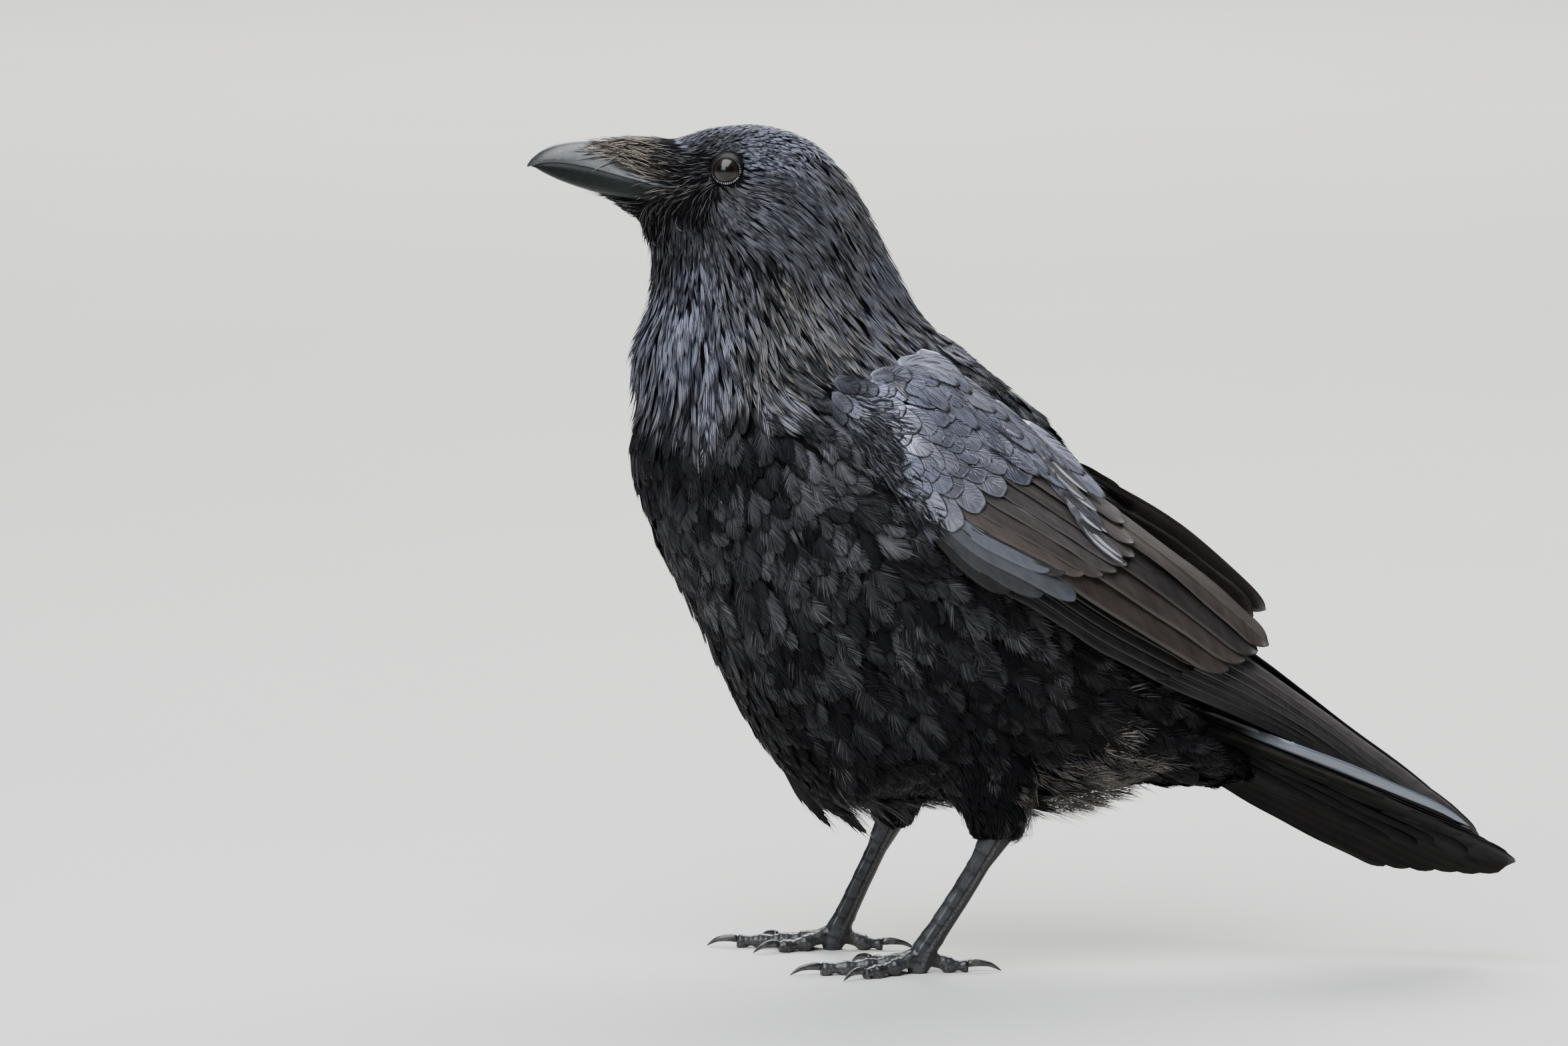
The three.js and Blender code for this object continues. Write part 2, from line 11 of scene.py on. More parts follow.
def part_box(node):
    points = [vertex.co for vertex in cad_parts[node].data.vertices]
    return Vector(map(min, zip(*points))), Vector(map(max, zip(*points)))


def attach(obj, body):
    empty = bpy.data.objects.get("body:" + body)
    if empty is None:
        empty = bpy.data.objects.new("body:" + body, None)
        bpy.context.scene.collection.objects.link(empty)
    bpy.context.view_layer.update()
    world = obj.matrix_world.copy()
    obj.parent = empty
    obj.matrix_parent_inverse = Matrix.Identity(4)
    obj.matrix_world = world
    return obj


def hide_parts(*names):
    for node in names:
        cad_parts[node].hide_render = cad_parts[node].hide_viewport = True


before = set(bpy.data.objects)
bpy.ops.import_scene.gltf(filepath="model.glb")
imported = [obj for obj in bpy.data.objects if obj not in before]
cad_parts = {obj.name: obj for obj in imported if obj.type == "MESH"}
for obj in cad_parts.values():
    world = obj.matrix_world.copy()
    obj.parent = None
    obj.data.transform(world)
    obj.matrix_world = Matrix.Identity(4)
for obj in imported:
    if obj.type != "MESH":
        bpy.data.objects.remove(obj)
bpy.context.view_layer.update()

# ------------------------------------------------------------------ skin
# One skin over the whole bird, from the base of the bill to the root of the tail and down to the
# heels. It is grown from the solids of the flesh, smoothed, and drawn in by the depth of the
# plumage, which lies over it. The bird is drawn in millimetres, and drawn() sets it in the frame.

MM = 0.001
DRAWN_BILL_TIP = -168.5      # where the drawing has the tip of the bill
SHIFT = np.array([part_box("bill_upper")[0].x - DRAWN_BILL_TIP * MM, 0, 0])
SIDES = {"left": -1, "right": 1}
FLESH = [
    "head", "neck", "breast", "trunk", "thigh_left", "thigh_right",
    "wing_coverts_left", "wing_coverts_right", "uppertail_coverts", "undertail_coverts",
]


def only(piece):
    """Selects one object and nothing else."""
    if bpy.context.object and bpy.context.object.mode != "OBJECT":
        bpy.ops.object.mode_set(mode="OBJECT")
    bpy.ops.object.select_all(action="DESELECT")
    piece.select_set(True)
    bpy.context.view_layer.objects.active = piece


def places(mesh):
    """The vertices of a mesh as rows."""
    rows = np.empty(len(mesh.vertices) * 3, np.float32)
    mesh.vertices.foreach_get("co", rows)
    return rows.reshape(-1, 3).astype(float)


def facings(mesh):
    """The vertex normals of a mesh as rows."""
    rows = np.empty(len(mesh.vertices) * 3, np.float32)
    mesh.vertex_normals.foreach_get("vector", rows)
    return rows.reshape(-1, 3).astype(float)


def put(mesh, rows):
    """Moves the vertices of a mesh to the rows."""
    mesh.vertices.foreach_set("co", rows.astype(np.float32).ravel())
    mesh.update()


def tint(mesh, *values):
    """Keeps four values at each vertex, for a finish to read: one for all, or one for each."""
    rows = np.empty((len(mesh.vertices), 4), np.float32)
    for column, value in enumerate(values):
        rows[:, column] = value
    layer = mesh.color_attributes.new(name="tone", type="FLOAT_COLOR", domain="POINT")
    layer.data.foreach_set("color", rows.ravel())


def merged_copy(name, nodes, swell=0.0):
    """A copy of some solids as one object, their doubles merged, each swollen a little."""
    meshes = []
    for node in nodes:
        solid = bmesh.new()
        solid.from_mesh(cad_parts[node].data)
        bmesh.ops.remove_doubles(solid, verts=solid.verts, dist=1e-6)
        solid.normal_update()
        for vertex in solid.verts:
            vertex.co += vertex.normal * swell
        mesh = bpy.data.meshes.new(node + "_copy")
        solid.to_mesh(mesh)
        solid.free()
        meshes.append(bpy.data.objects.new(node + "_copy", mesh))
    for each in meshes:
        bpy.context.scene.collection.objects.link(each)
    only(meshes[0])
    for each in meshes:
        each.select_set(True)
    if len(meshes) > 1:
        bpy.ops.object.join()
    piece = bpy.context.object
    piece.name = piece.data.name = name
    return piece


def apply_modifier(piece, kind, **settings):
    """Adds a modifier to a piece and makes its result the piece's own mesh."""
    only(piece)
    modifier = piece.modifiers.new(kind.title(), kind)
    for key, value in settings.items():
        setattr(modifier, key, value)
    bpy.ops.object.modifier_apply(modifier=modifier.name)


WELD = 0.25 * MM             # how far solids swell into one another before they are fused


def grown(name, nodes, grain, rounds):
    """Solids fused into one even surface, with their edges rubbed down."""
    piece = merged_copy(name, nodes, swell=WELD)
    apply_modifier(piece, "REMESH", mode="VOXEL", voxel_size=grain)
    apply_modifier(piece, "SMOOTH", factor=0.5, iterations=rounds)
    return piece


class Surface:
    """A surface that feathers are laid on: the nearest place on it, and which way it faces."""

    def __init__(self, piece):
        mesh = piece.data
        mesh.calc_loop_triangles()
        self.points = places(mesh)
        self.normals = facings(mesh)
        corners = np.empty(len(mesh.loop_triangles) * 3, np.int32)
        mesh.loop_triangles.foreach_get("vertices", corners)
        self.triangles = corners.reshape(-1, 3)
        self.tree = BVHTree.FromPolygons(self.points.tolist(), self.triangles.tolist())

    def settle(self, rows):
        """Points drawn onto the surface, and its smooth normals there."""
        shape = rows.shape
        rows = rows.reshape(-1, 3)
        spots = np.empty_like(rows)
        faces = np.empty(len(rows), int)
        for i, row in enumerate(rows.tolist()):
            spot, _, face, _ = self.tree.find_nearest(row)
            spots[i] = spot
            faces[i] = face
        normals = unit(self.normals[self.triangles[faces]].mean(axis=1))
        return spots.reshape(shape), normals.reshape(shape)


def unit(rows):
    """Rows brought to a length of one."""
    return rows / np.maximum(np.linalg.norm(rows, axis=-1, keepdims=True), 1e-9)


def drawn(rows):
    """Drawing millimetres to metres in the frame."""
    return np.asarray(rows, float) * MM + SHIFT


TRACTS = [
    # The tracts of the plumage, on both sides of the bird: where each lies, the way its feathers
    # lie, their length, half width and spacing, how deep they root, how far their tips stand out,
    # all in millimetres, and then the blue of their gloss and how worn and pale they are.
    # kind, place, lie, length, half, gap, depth, lift, gloss, wear
    ("bristle", (-132, 3, 322), (-1, 0, 0.06), 13, 0.26, 1.05, 0.5, 0.9, 0.05, 0.7),
    ("bristle", (-126, 9, 315), (-0.94, 0, 0.32), 13, 0.26, 0.85, 0.5, 0.9, 0.05, 0.7),
    ("bristle", (-116, 6, 321), (-1, 0, 0.05), 13, 0.26, 0.8, 0.4, 0.9, 0.05, 0.8),
    ("bristle", (-113, 12, 312), (-0.95, 0, 0.25), 13, 0.26, 0.85, 0.4, 0.9, 0, 0.7),
    ("bristle", (-102, 16, 315), (-0.95, 0, 0.05), 7.6, 0.26, 0.7, 0.3, 0.7, 0, 0.15),
    ("bristle", (-105, 14, 305), (-0.9, 0, -0.25), 7.6, 0.24, 0.72, 0.3, 0.8, 0, 0.3),
    ("bristle", (-102, 15, 298), (-0.25, 0, -1), 8.4, 0.26, 0.9, 0.3, 1.1, 0, 0.2),
    ("velvet", (-110, 5, 323), (0.95, 0, 0.35), 4.25, 0.55, 0.85, 0.35, 0.45, 0.45, 0.1),
    ("velvet", (-98, 13, 322), (1, 0, 0.25), 4.25, 0.6, 1.07, 0.5, 0.3, 0.4, 0.1),
    ("velvet", (-88, 4, 328), (1, 0, 0), 4.75, 0.68, 1.16, 0.5, 0.3, 0.6, 0.1),
    ("velvet", (-80, 16, 320), (0.95, 0, -0.2), 5.75, 0.68, 1.2, 0.5, 0.35, 0.5, 0.1),
    ("velvet", (-66, 6, 325), (0.9, 0, -0.4), 6.88, 0.72, 1.29, 0.7, 0.5, 0.45, 0.15),
    ("hackle", (-56, 14, 313), (0.7, 0, -0.7), 10.3, 0.714, 1.7, 0.8, 0.8, 0.3, 0.3),
    ("hackle", (-42, 8, 304), (0.5, 0, -0.85), 12.6, 0.788, 1.79, 1.12, 0.96, 0.25, 0.35),
    ("silk", (-88, 18, 300), (0.7, 0, -0.6), 8, 0.6, 1.1, 0.4, 0.48, 0.3, 0.15),
    ("silk", (-78, 21, 306), (0.95, 0, -0.2), 10.4, 0.649, 1.55, 0.6, 0.48, 0.3, 0.2),
    ("silk", (-80, 22, 292), (0.8, 0, -0.55), 13, 0.704, 1.65, 0.8, 0.6, 0.3, 0.25),
    ("silk", (-68, 25, 292), (0.75, 0, -0.65), 14.3, 0.748, 1.77, 0.9, 0.84, 0.3, 0.25),
    ("silk", (-95, 17, 291), (0.45, 0, -0.85), 9.1, 0.649, 1.3, 0.5, 0.6, 0.3, 0.2),
    ("silk", (-106, 13, 288), (0.3, 0, -0.95), 7.8, 0.561, 1.43, 0.6, 0.84, 0.3, 0.2),
    ("bristle", (-127, 4, 297), (-0.9, 0, -0.2), 10, 0.25, 0.95, 0.4, 1.6, 0, 0.2),
    ("bristle", (-122, 7, 291), (-0.15, 0, -1), 7, 0.25, 1.08, 0.4, 2.2, 0, 0.2),
    ("hackle", (-120, 6, 279), (0.15, 0, -1), 9.2, 0.567, 1.52, 0.64, 1.12, 0.1, 0.25),
    ("hackle", (-108, 18, 273), (0.25, 0, -0.95), 11.5, 0.788, 1.79, 0.8, 0.8, 0.55, 0.35),
    ("hackle", (-124, 8, 258), (-0.05, 0, -1), 14.9, 0.997, 2.15, 1.12, 2.3, 0.5, 0.3),
    ("hackle", (-104, 25, 255), (0.15, 0, -1), 16.1, 1.14, 2.33, 1.2, 1.12, 0.85, 0.4),
    ("hackle", (-88, 29, 270), (0.3, 0, -0.9), 12.6, 0.788, 1.88, 0.96, 0.72, 0.3, 0.3),
    ("hackle", (-70, 32, 268), (0.42, 0, -0.88), 13.8, 0.788, 1.88, 1.12, 0.72, 0.15, 0.45),
    ("hackle", (-46, 28, 276), (0.5, 0, -0.82), 14.9, 0.788, 1.97, 1.28, 0.8, 0.4, 0.4),
    ("hackle", (-28, 12, 275), (0.6, 0, -0.8), 16.1, 0.861, 2.06, 1.44, 0.96, 0.5, 0.35),
    ("hackle", (-80, 38, 243), (0.35, 0, -0.92), 17.2, 0.924, 2.15, 1.44, 1.9, 0.2, 0.45),
    ("hackle", (-52, 38, 246), (0.5, 0, -0.85), 19.5, 0.924, 2.15, 1.44, 2.4, 0.25, 0.45),
    ("hackle", (-30, 28, 250), (0.62, 0, -0.78), 20.5, 0.924, 2.24, 1.44, 2.4, 0.35, 0.4),
    ("hackle", (-124, 14, 238), (0, 0, -1), 18.4, 1.22, 2.51, 1.44, 3.2, 0.35, 0.25),
    ("hackle", (-108, 34, 232), (0.12, 0, -1), 19.5, 1.35, 2.69, 1.6, 1.2, 0.4, 0.2),
    ("contour", (-12, 12, 247), (0.75, 0, -0.65), 18, 5, 4.6, 1.65, 0.5, 0.35, 0.2),
    ("contour", (12, 14, 228), (0.75, 0, -0.65), 20, 5.8, 5, 1.65, 0.5, 0.4, 0.2),
    ("contour", (40, 10, 199), (0.75, 0, -0.65), 21, 6, 5.2, 1.65, 0.5, 0.18, 0.2),
    ("contour", (68, 8, 160), (0.7, 0, -0.7), 21, 6, 5.2, 1.65, 0.5, 0.12, 0.25),
    ("contour", (92, 5, 118), (0.7, 0, -0.6), 20, 5.5, 5.2, 1.5, 0.5, 0.06, 0.3),
    ("contour", (-127, 10, 215), (0.02, 0, -1), 17, 3.4, 3.9, 1.5, 0.7, 0.18, 0.15),
    ("contour", (-118, 34, 208), (0.1, 0, -1), 18, 3.8, 4, 1.5, 0.6, 0.21, 0.15),
    ("contour", (-58, 48, 232), (0.8, 0, -0.6), 19, 3.6, 3.8, 1.6, 0.6, 0.35, 0.2),
    ("contour", (-58, 53, 212), (0.85, 0, -0.5), 20, 3.8, 3.9, 1.6, 0.6, 0.18, 0.2),
    ("contour", (-42, 57, 190), (0.85, 0, -0.5), 20, 4, 4, 1.6, 0.6, 0.12, 0.25),
    ("contour", (-22, 60, 168), (0.85, 0, -0.52), 20, 4.2, 4.2, 1.6, 0.6, 0.12, 0.3),
    ("contour", (-88, 50, 214), (0.25, 0, -0.97), 18, 4.2, 4.2, 1.65, 0.6, 0.18, 0.1),
    ("contour", (-60, 52, 205), (0.35, 0, -0.93), 19, 4.6, 4.4, 1.65, 0.6, 0.18, 0.1),
    ("contour", (-116, 15, 175), (0.2, 0, -0.97), 18, 4.2, 4.3, 1.65, 0.65, 0.12, 0.15),
    ("contour", (-92, 46, 170), (0.35, 0, -0.93), 19, 4.6, 4.4, 1.65, 0.6, 0.18, 0.12),
    ("contour", (-50, 57, 168), (0.45, 0, -0.88), 20, 5, 4.7, 1.72, 0.65, 0.15, 0.15),
    ("contour", (-98, 15, 130), (0.45, 0, -0.9), 19, 4.6, 4.6, 1.72, 0.75, 0.09, 0.2),
    ("contour", (-60, 48, 118), (0.55, 0, -0.83), 20, 5, 4.8, 1.8, 0.75, 0.12, 0.3),
    ("contour", (-10, 55, 130), (0.62, 0, -0.78), 21, 5.2, 4.9, 1.88, 0.8, 0.09, 0.35),
    ("contour", (30, 46, 110), (0.75, 0, -0.65), 20, 5, 4.9, 1.88, 0.9, 0.03, 0.5),
    ("contour", (-70, 15, 85), (0.7, 0, -0.7), 20, 4.6, 4.6, 1.88, 0.9, 0.06, 0.25),
    ("contour", (-20, 45, 82), (0.6, 0, -0.78), 19, 4.6, 4.6, 1.88, 1, 0.06, 0.3),
    ("wisp", (-48, 8, 66), (0.3, 0, -1), 17, 2.4, 3.4, 1.5, 8, 0.05, 0.2),
    ("wisp", (-25, 8, 64), (0.95, 0, -0.1), 18, 3.6, 4.2, 2.5, 2, 0.05, 0.4),
    ("wisp", (15, 30, 72), (0.85, 0, -0.45), 20, 3.8, 4, 2.5, 4, 0, 0.9),
    ("wisp", (35, 10, 62), (0.95, 0, -0.3), 20, 3.6, 3.8, 3, 5.5, 0, 0.9),
    ("wisp", (55, 22, 84), (0.93, 0, -0.35), 17, 3.6, 4.2, 3.2, 2.2, 0, 0.9),
    ("contour", (78, 10, 78), (0.95, 0, -0.25), 15, 4.6, 4.6, 1.8, 0.6, 0.03, 0.1),
    ("contour", (76, 20, 94), (0.9, 0, -0.45), 16, 4.6, 4.6, 1.8, 0.6, 0.03, 0.1),
    ("down", (8, 40, 74), (0.25, 0, -1), 8, 1.3, 2, 1.2, 1, 0.1, 0.15),
    ("down", (14, 32, 58), (0.1, 0, -1), 12.5, 1.1, 1.6, 0.8, 0.6, 0.1, 0.1),
    ("down", (-20, 40, 72), (-0.1, 0, -1), 8, 1.3, 2, 1.2, 1, 0.1, 0.15),
    ("down", (-26, 30, 56), (-0.1, 0, -1), 12.5, 1.1, 1.6, 0.8, 0.6, 0.1, 0.1),
]
KINDS = [tract[0] for tract in TRACTS]
TRACT_PLACES = np.array([tract[1] for tract in TRACTS], float)
TRACT_LIES = np.array([tract[2] for tract in TRACTS], float)
TRACT_SIZES = np.array([tract[3:] for tract in TRACTS], float)
LENGTH, HALF, SPACING, DEPTH, LIFT, GLOSS, WEAR = range(7)


def undrawn(rows):
    """Metres in the frame to drawing millimetres."""
    return (rows - SHIFT) / MM


def nearness(rows):
    """How much each tract has to say at each point, which adds up to one."""
    spots = undrawn(rows)
    spots[:, 1] = np.abs(spots[:, 1])
    apart = ((spots[:, None, :] - TRACT_PLACES[None]) ** 2).sum(axis=2)
    weight = 1 / (apart + 3) ** 2.2
    return weight / weight.sum(axis=1, keepdims=True)


SKIN_GRAIN = 1.5 * MM
SKIN_ROUNDS = 10             # how often the skin is rubbed smooth
SKIN_DEPTH = 0.9             # how deep it lies, as a share of the depth of the feathers' roots

BESIDE = ["bill_upper", "bill_lower", "alula_left", "alula_right"]    # solids the skin runs up to
form = grown("form", FLESH + BESIDE, SKIN_GRAIN, SKIN_ROUNDS)
outside = Surface(form)
bpy.data.objects.remove(form)

skin = grown("skin", FLESH, SKIN_GRAIN, SKIN_ROUNDS)
skin_points = places(skin.data)
skin_sizes = nearness(skin_points) @ TRACT_SIZES
put(skin.data, skin_points - facings(skin.data) * skin_sizes[:, DEPTH:DEPTH + 1] * MM * SKIN_DEPTH)
tint(skin.data, 0.0, 0.0, 0.1, 1.0)
skin.data.shade_smooth()


class Value:
    """A socket of a finish, for sums written as expressions."""

    def __init__(self, finish, socket):
        self.finish = finish
        self.socket = socket

    def sum(self, operation, *values):
        """One step of a sum, worked out by a node."""
        return self.finish.node("ShaderNodeMath", {"operation": operation}, dict(enumerate(values)))

    def __add__(self, other):
        return self.sum("ADD", self, other)

    def __sub__(self, other):
        return self.sum("SUBTRACT", self, other)

    def __rsub__(self, other):
        return self.sum("SUBTRACT", other, self)

    def __mul__(self, other):
        return self.sum("MULTIPLY", self, other)

    def __truediv__(self, other):
        return self.sum("DIVIDE", self, other)

    __radd__ = __add__
    __rmul__ = __mul__

    def between(self, low, high):
        """0 below low, 1 above high, and smooth between them."""
        return self.finish.node(
            "ShaderNodeMapRange", {"interpolation_type": "SMOOTHSTEP"},
            {"Value": self, "From Min": low, "From Max": high},
        )


class Finish:
    """A procedural material: its nodes all come through one method and end in one shader."""

    def __init__(self, name):
        self.material = bpy.data.materials.new(name)
        self.material.use_nodes = True
        self.tree = self.material.node_tree
        self.shader = self.tree.nodes["Principled BSDF"]

    def node(self, kind, settings, sockets, output=0):
        """Adds a node with its settings, fills its sockets, and gives one of its outputs."""
        made = self.tree.nodes.new(kind)
        for key, value in settings.items():
            setattr(made, key, value)
        for key, value in sockets.items():
            self.join(made.inputs[key], value)
        return Value(self, made.outputs[output])

    def join(self, socket, value):
        """Joins a value to a socket, or sets a constant on it."""
        if isinstance(value, Value):
            self.tree.links.new(value.socket, socket)
        elif isinstance(value, tuple) and len(value) == 3 and socket.type == "RGBA":
            socket.default_value = (*value, 1)
        else:
            socket.default_value = value

    def shade(self, **sockets):
        """Sets the shader's sockets, whose names are written with _ for a space."""
        for key, value in sockets.items():
            self.join(self.shader.inputs[key.replace("_", " ")], value)
        return self.material

    def blend(self, share, first, second):
        """The first colour with a share of the second in it."""
        return self.node("ShaderNodeMix", {"data_type": "RGBA"}, {0: share, 6: first, 7: second}, 2)

    def place(self):
        """Where a point lies on the piece."""
        return self.node("ShaderNodeTexCoord", {}, {}, "Object")

    def parts_of(self, place):
        """The three parts of a place."""
        made = self.node("ShaderNodeSeparateXYZ", {}, {0: place})
        return [Value(self, part) for part in made.socket.node.outputs]

    def noise(self, scale, detail, where=None, rough=0.5):
        """Soft noise over the places given, or over the piece."""
        where = where or self.place()
        return self.node(
            "ShaderNodeTexNoise", {}, {"Vector": where, "Scale": scale, "Detail": detail, "Roughness": rough},
        )

    def bump(self, height, distance, strength):
        """The way the surface faces when it is raised by a height."""
        return self.node(
            "ShaderNodeBump", {}, {"Height": height, "Distance": distance, "Strength": strength},
        )

    def barbs(self):
        """Where a point lies on a vane: out along its barbs, across it, and which feather it is."""
        read = self.tree.nodes.new("ShaderNodeAttribute")
        read.attribute_name = "barbs"
        return Value(self, read.outputs["Vector"])

    def tones(self):
        """The gloss, wear and chance value that a coat carries, and how far along its feather."""
        read = self.tree.nodes.new("ShaderNodeAttribute")
        read.attribute_name = "tone"
        parts = self.tree.nodes.new("ShaderNodeSeparateColor")
        self.tree.links.new(read.outputs["Color"], parts.inputs[0])
        along = Value(self, read.outputs["Alpha"])
        return [Value(self, parts.outputs[i]) for i in range(3)] + [along]


BLACK = (0.0022, 0.0021, 0.0024)     # keratin, its painted sheens and streaks of highlight, and its worn edges
GREY_SHEEN = (0.150, 0.149, 0.156)
BLUE_SHEEN = (0.180, 0.192, 0.262)
PAINTED_PALE_SHEEN = (0.37, 0.365, 0.40)
BROWN_BLACK = (0.085, 0.072, 0.064)
PALE_HORN = (0.27, 0.245, 0.21)
STREAK_HIGHLIGHT = (0.42, 0.41, 0.46)


def plumage_finish(name, roughness, shine, worn=BROWN_BLACK, wet=0.07):
    """Black keratin vanes with a thin blue-violet gloss and paler sheen painted into their colour, browner
    where they are worn.
    """
    finish = Finish(name)
    gloss, wear, chance, along = finish.tones()
    patch = finish.noise(55, 3).between(0.35, 0.65)
    barbs = finish.barbs()
    edge = finish.parts_of(barbs)[1]
    rim = edge.between(0.0, 1.0)
    # painted highlight: a pale streak along one side of some vanes
    streak = (0.0 - edge).between(0.0, 1.0)
    fine = finish.node("ShaderNodeMapping", {}, {"Vector": barbs, "Scale": (1.9, 0.0, 40.0)})
    fine = finish.noise(1.0, 3, fine, 0.6)
    strand = (chance * (0.15 + 1.7 * fine)).between(0.0, 1.05) * (1.0 - 0.75 * rim)
    blue = gloss * (0.35 + 0.9 * strand) * (0.6 + 0.6 * patch) * (1.0 - 0.85 * rim)
    grey = strand * (0.55 + 0.45 * patch) * shine
    colour = finish.blend(grey, BLACK, GREY_SHEEN)
    colour = finish.blend(blue.between(0.0, 1.0), colour, BLUE_SHEEN)
    # painted sheen: where the gloss is strongest the colour is painted paler
    pale_sheen = (gloss - 0.7).between(0.0, 1.6) * (0.4 + 0.5 * fine) * (1.0 - rim)
    colour = finish.blend(pale_sheen, colour, PAINTED_PALE_SHEEN)
    brown = wear * (0.2 + 0.9 * strand) * (0.35 + 0.75 * along)
    colour = finish.blend(brown.between(0.05, 1.0) * 0.7, colour, worn)
    pale = (wear * chance * chance * along).between(0.25, 0.8) * 0.75
    colour = finish.blend(pale, colour, PALE_HORN)
    # the streak mask is painted in as a pale highlight
    colour = finish.blend(streak * 0.75, colour, STREAK_HIGHLIGHT)
    return finish.shade(
        Base_Color=colour,
        Roughness=roughness + 0.12 * patch - 0.06 * gloss.between(0.0, 1.0) + 0.1 * pale_sheen,
        Metallic=(0.35 * grey + 0.6 * blue).between(0.0, 1.0),
        Normal=finish.bump(fine, 0.1 * MM, 0.5),
        Specular_IOR_Level=wet,
        Sheen_Weight=0.15 * wet,
        Sheen_Roughness=0.45,
        Sheen_Tint=(0.72, 0.78, 1.0, 1.0),
    )


plumage = plumage_finish("plumage", 0.36, 0.8)
skin.data.materials.clear()
skin.data.materials.append(plumage_finish("skin", 0.75, 0.5, wet=0.02))

# ------------------------------------------------------------------ eyes
# Each eyeball is set deep in the head, so that only a 10 mm disc shows: a dark brown iris round
# a black pupil, under a wet cornea. The lid is a thin ring of skin with a beaded grey rim.

EYEBALL = 7.0                # its radius
EYE_TURN = (-0.20, 0.06)     # how far the eye looks forwards and up
CORNEA = (0.72, 0.9)         # where the cornea starts up the eye's axis, and how far it bulges
LID_PROFILE = [              # out from the opening: distance from the axis, and height up it
    (4.9, 4.7), (5.0, 5.05), (5.35, 5.15), (5.7, 4.65), (6.1, 3.8), (6.6, 2.75), (7.2, 1.3), (7.8, -1.0),
]
LID_RIM = {1: 0.5, 2: 1.0, 3: 0.6}    # the rows of the profile that the beads are on
LID_BEADS = 40
BEAD_STEPS = 8
# the beads are made smaller and painted darker above and in front, as shade under the overhanging crown
LID_DULL = -0.6              # the lid's beads are dullest above and in front
LID_EDGE = 6.5               # further out than this, the lid leaves the eyeball

luck = np.random.default_rng(1947)


def looking(side):
    """The axes of an eye: out of the pupil, and two across it."""
    out = unit(np.array([EYE_TURN[0], side, EYE_TURN[1]]))
    up = unit(np.array([0, 0, 1.0]) - out * out[2])
    return out, up, np.cross(out, up)


def eye_centre(label):
    """The middle of an eyeball, in the frame."""
    low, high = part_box("eye_" + label)
    return np.array((low + high) / 2)


def new_piece(name, rows, polygons, finish):
    """An object from rows of vertices and polygons, smooth all over."""
    mesh = bpy.data.meshes.new(name)
    mesh.from_pydata([tuple(row) for row in rows], [], polygons)
    mesh.shade_smooth()
    mesh.materials.append(finish)
    piece = bpy.data.objects.new(name, mesh)
    bpy.context.scene.collection.objects.link(piece)
    return piece


def face_outwards(piece):
    """Turns all the faces of a closed piece outwards."""
    only(piece)
    bpy.ops.object.mode_set(mode="EDIT")
    bpy.ops.mesh.select_all(action="SELECT")
    bpy.ops.mesh.normals_make_consistent(inside=False)
    bpy.ops.object.mode_set(mode="OBJECT")


def eye_finish():
    """A dark brown iris with fine rays, a black pupil and a wet clear coat."""
    finish = Finish("eye")
    out = finish.tones()[0]
    rays = finish.noise(900, 3)
    iris = finish.blend(rays, (0.004, 0.0022, 0.0015), (0.020, 0.010, 0.006))
    colour = finish.blend(out.between(0.44, 0.50), (0.001, 0.001, 0.001), iris)
    colour = finish.blend(out.between(0.60, 0.72), colour, (0.002, 0.0015, 0.0015))
    return finish.shade(
        Base_Color=colour, Roughness=0.25, Specular_IOR_Level=0.2,
        Coat_Weight=1.0, Coat_Roughness=0.01, Coat_IOR=1.28,
    )


eye_material = eye_finish()
for label, side in SIDES.items():
    out, up, across = looking(side)
    centre = eye_centre(label)
    bpy.ops.object.select_all(action="DESELECT")
    bpy.ops.mesh.primitive_uv_sphere_add(segments=48, ring_count=32, radius=EYEBALL * MM)
    eye = bpy.context.object
    eye.name = eye.data.name = "eyeball_" + label
    ball = places(eye.data)
    bulge = np.clip(ball[:, 2] / (EYEBALL * MM) - CORNEA[0], 0, None) * CORNEA[1] * MM
    rings = np.hypot(ball[:, 0], ball[:, 1]) / (EYEBALL * MM) + (ball[:, 2] < 0)
    ball = centre + ball[:, :1] * across + ball[:, 1:2] * up + (ball[:, 2] + bulge)[:, None] * out
    put(eye.data, ball)
    tint(eye.data, *[rings] * 4)
    face_outwards(eye)
    eye.data.shade_smooth()
    eye.data.materials.append(eye_material)
    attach(eye, "root")
    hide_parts("eye_" + label)


def lid_finish():
    """Bare grey-black lid skin, its beads paler and blue-grey."""
    finish = Finish("eyelid")
    bead = finish.tones()[3]
    grain = finish.noise(1500, 2)
    colour = finish.blend(bead.between(0.4, 0.85), (0.0025, 0.0025, 0.003), (0.20, 0.23, 0.24))
    return finish.shade(
        Base_Color=colour, Roughness=0.6, Specular_IOR_Level=0.25, Normal=finish.bump(grain, 0.1 * MM, 0.5),
    )


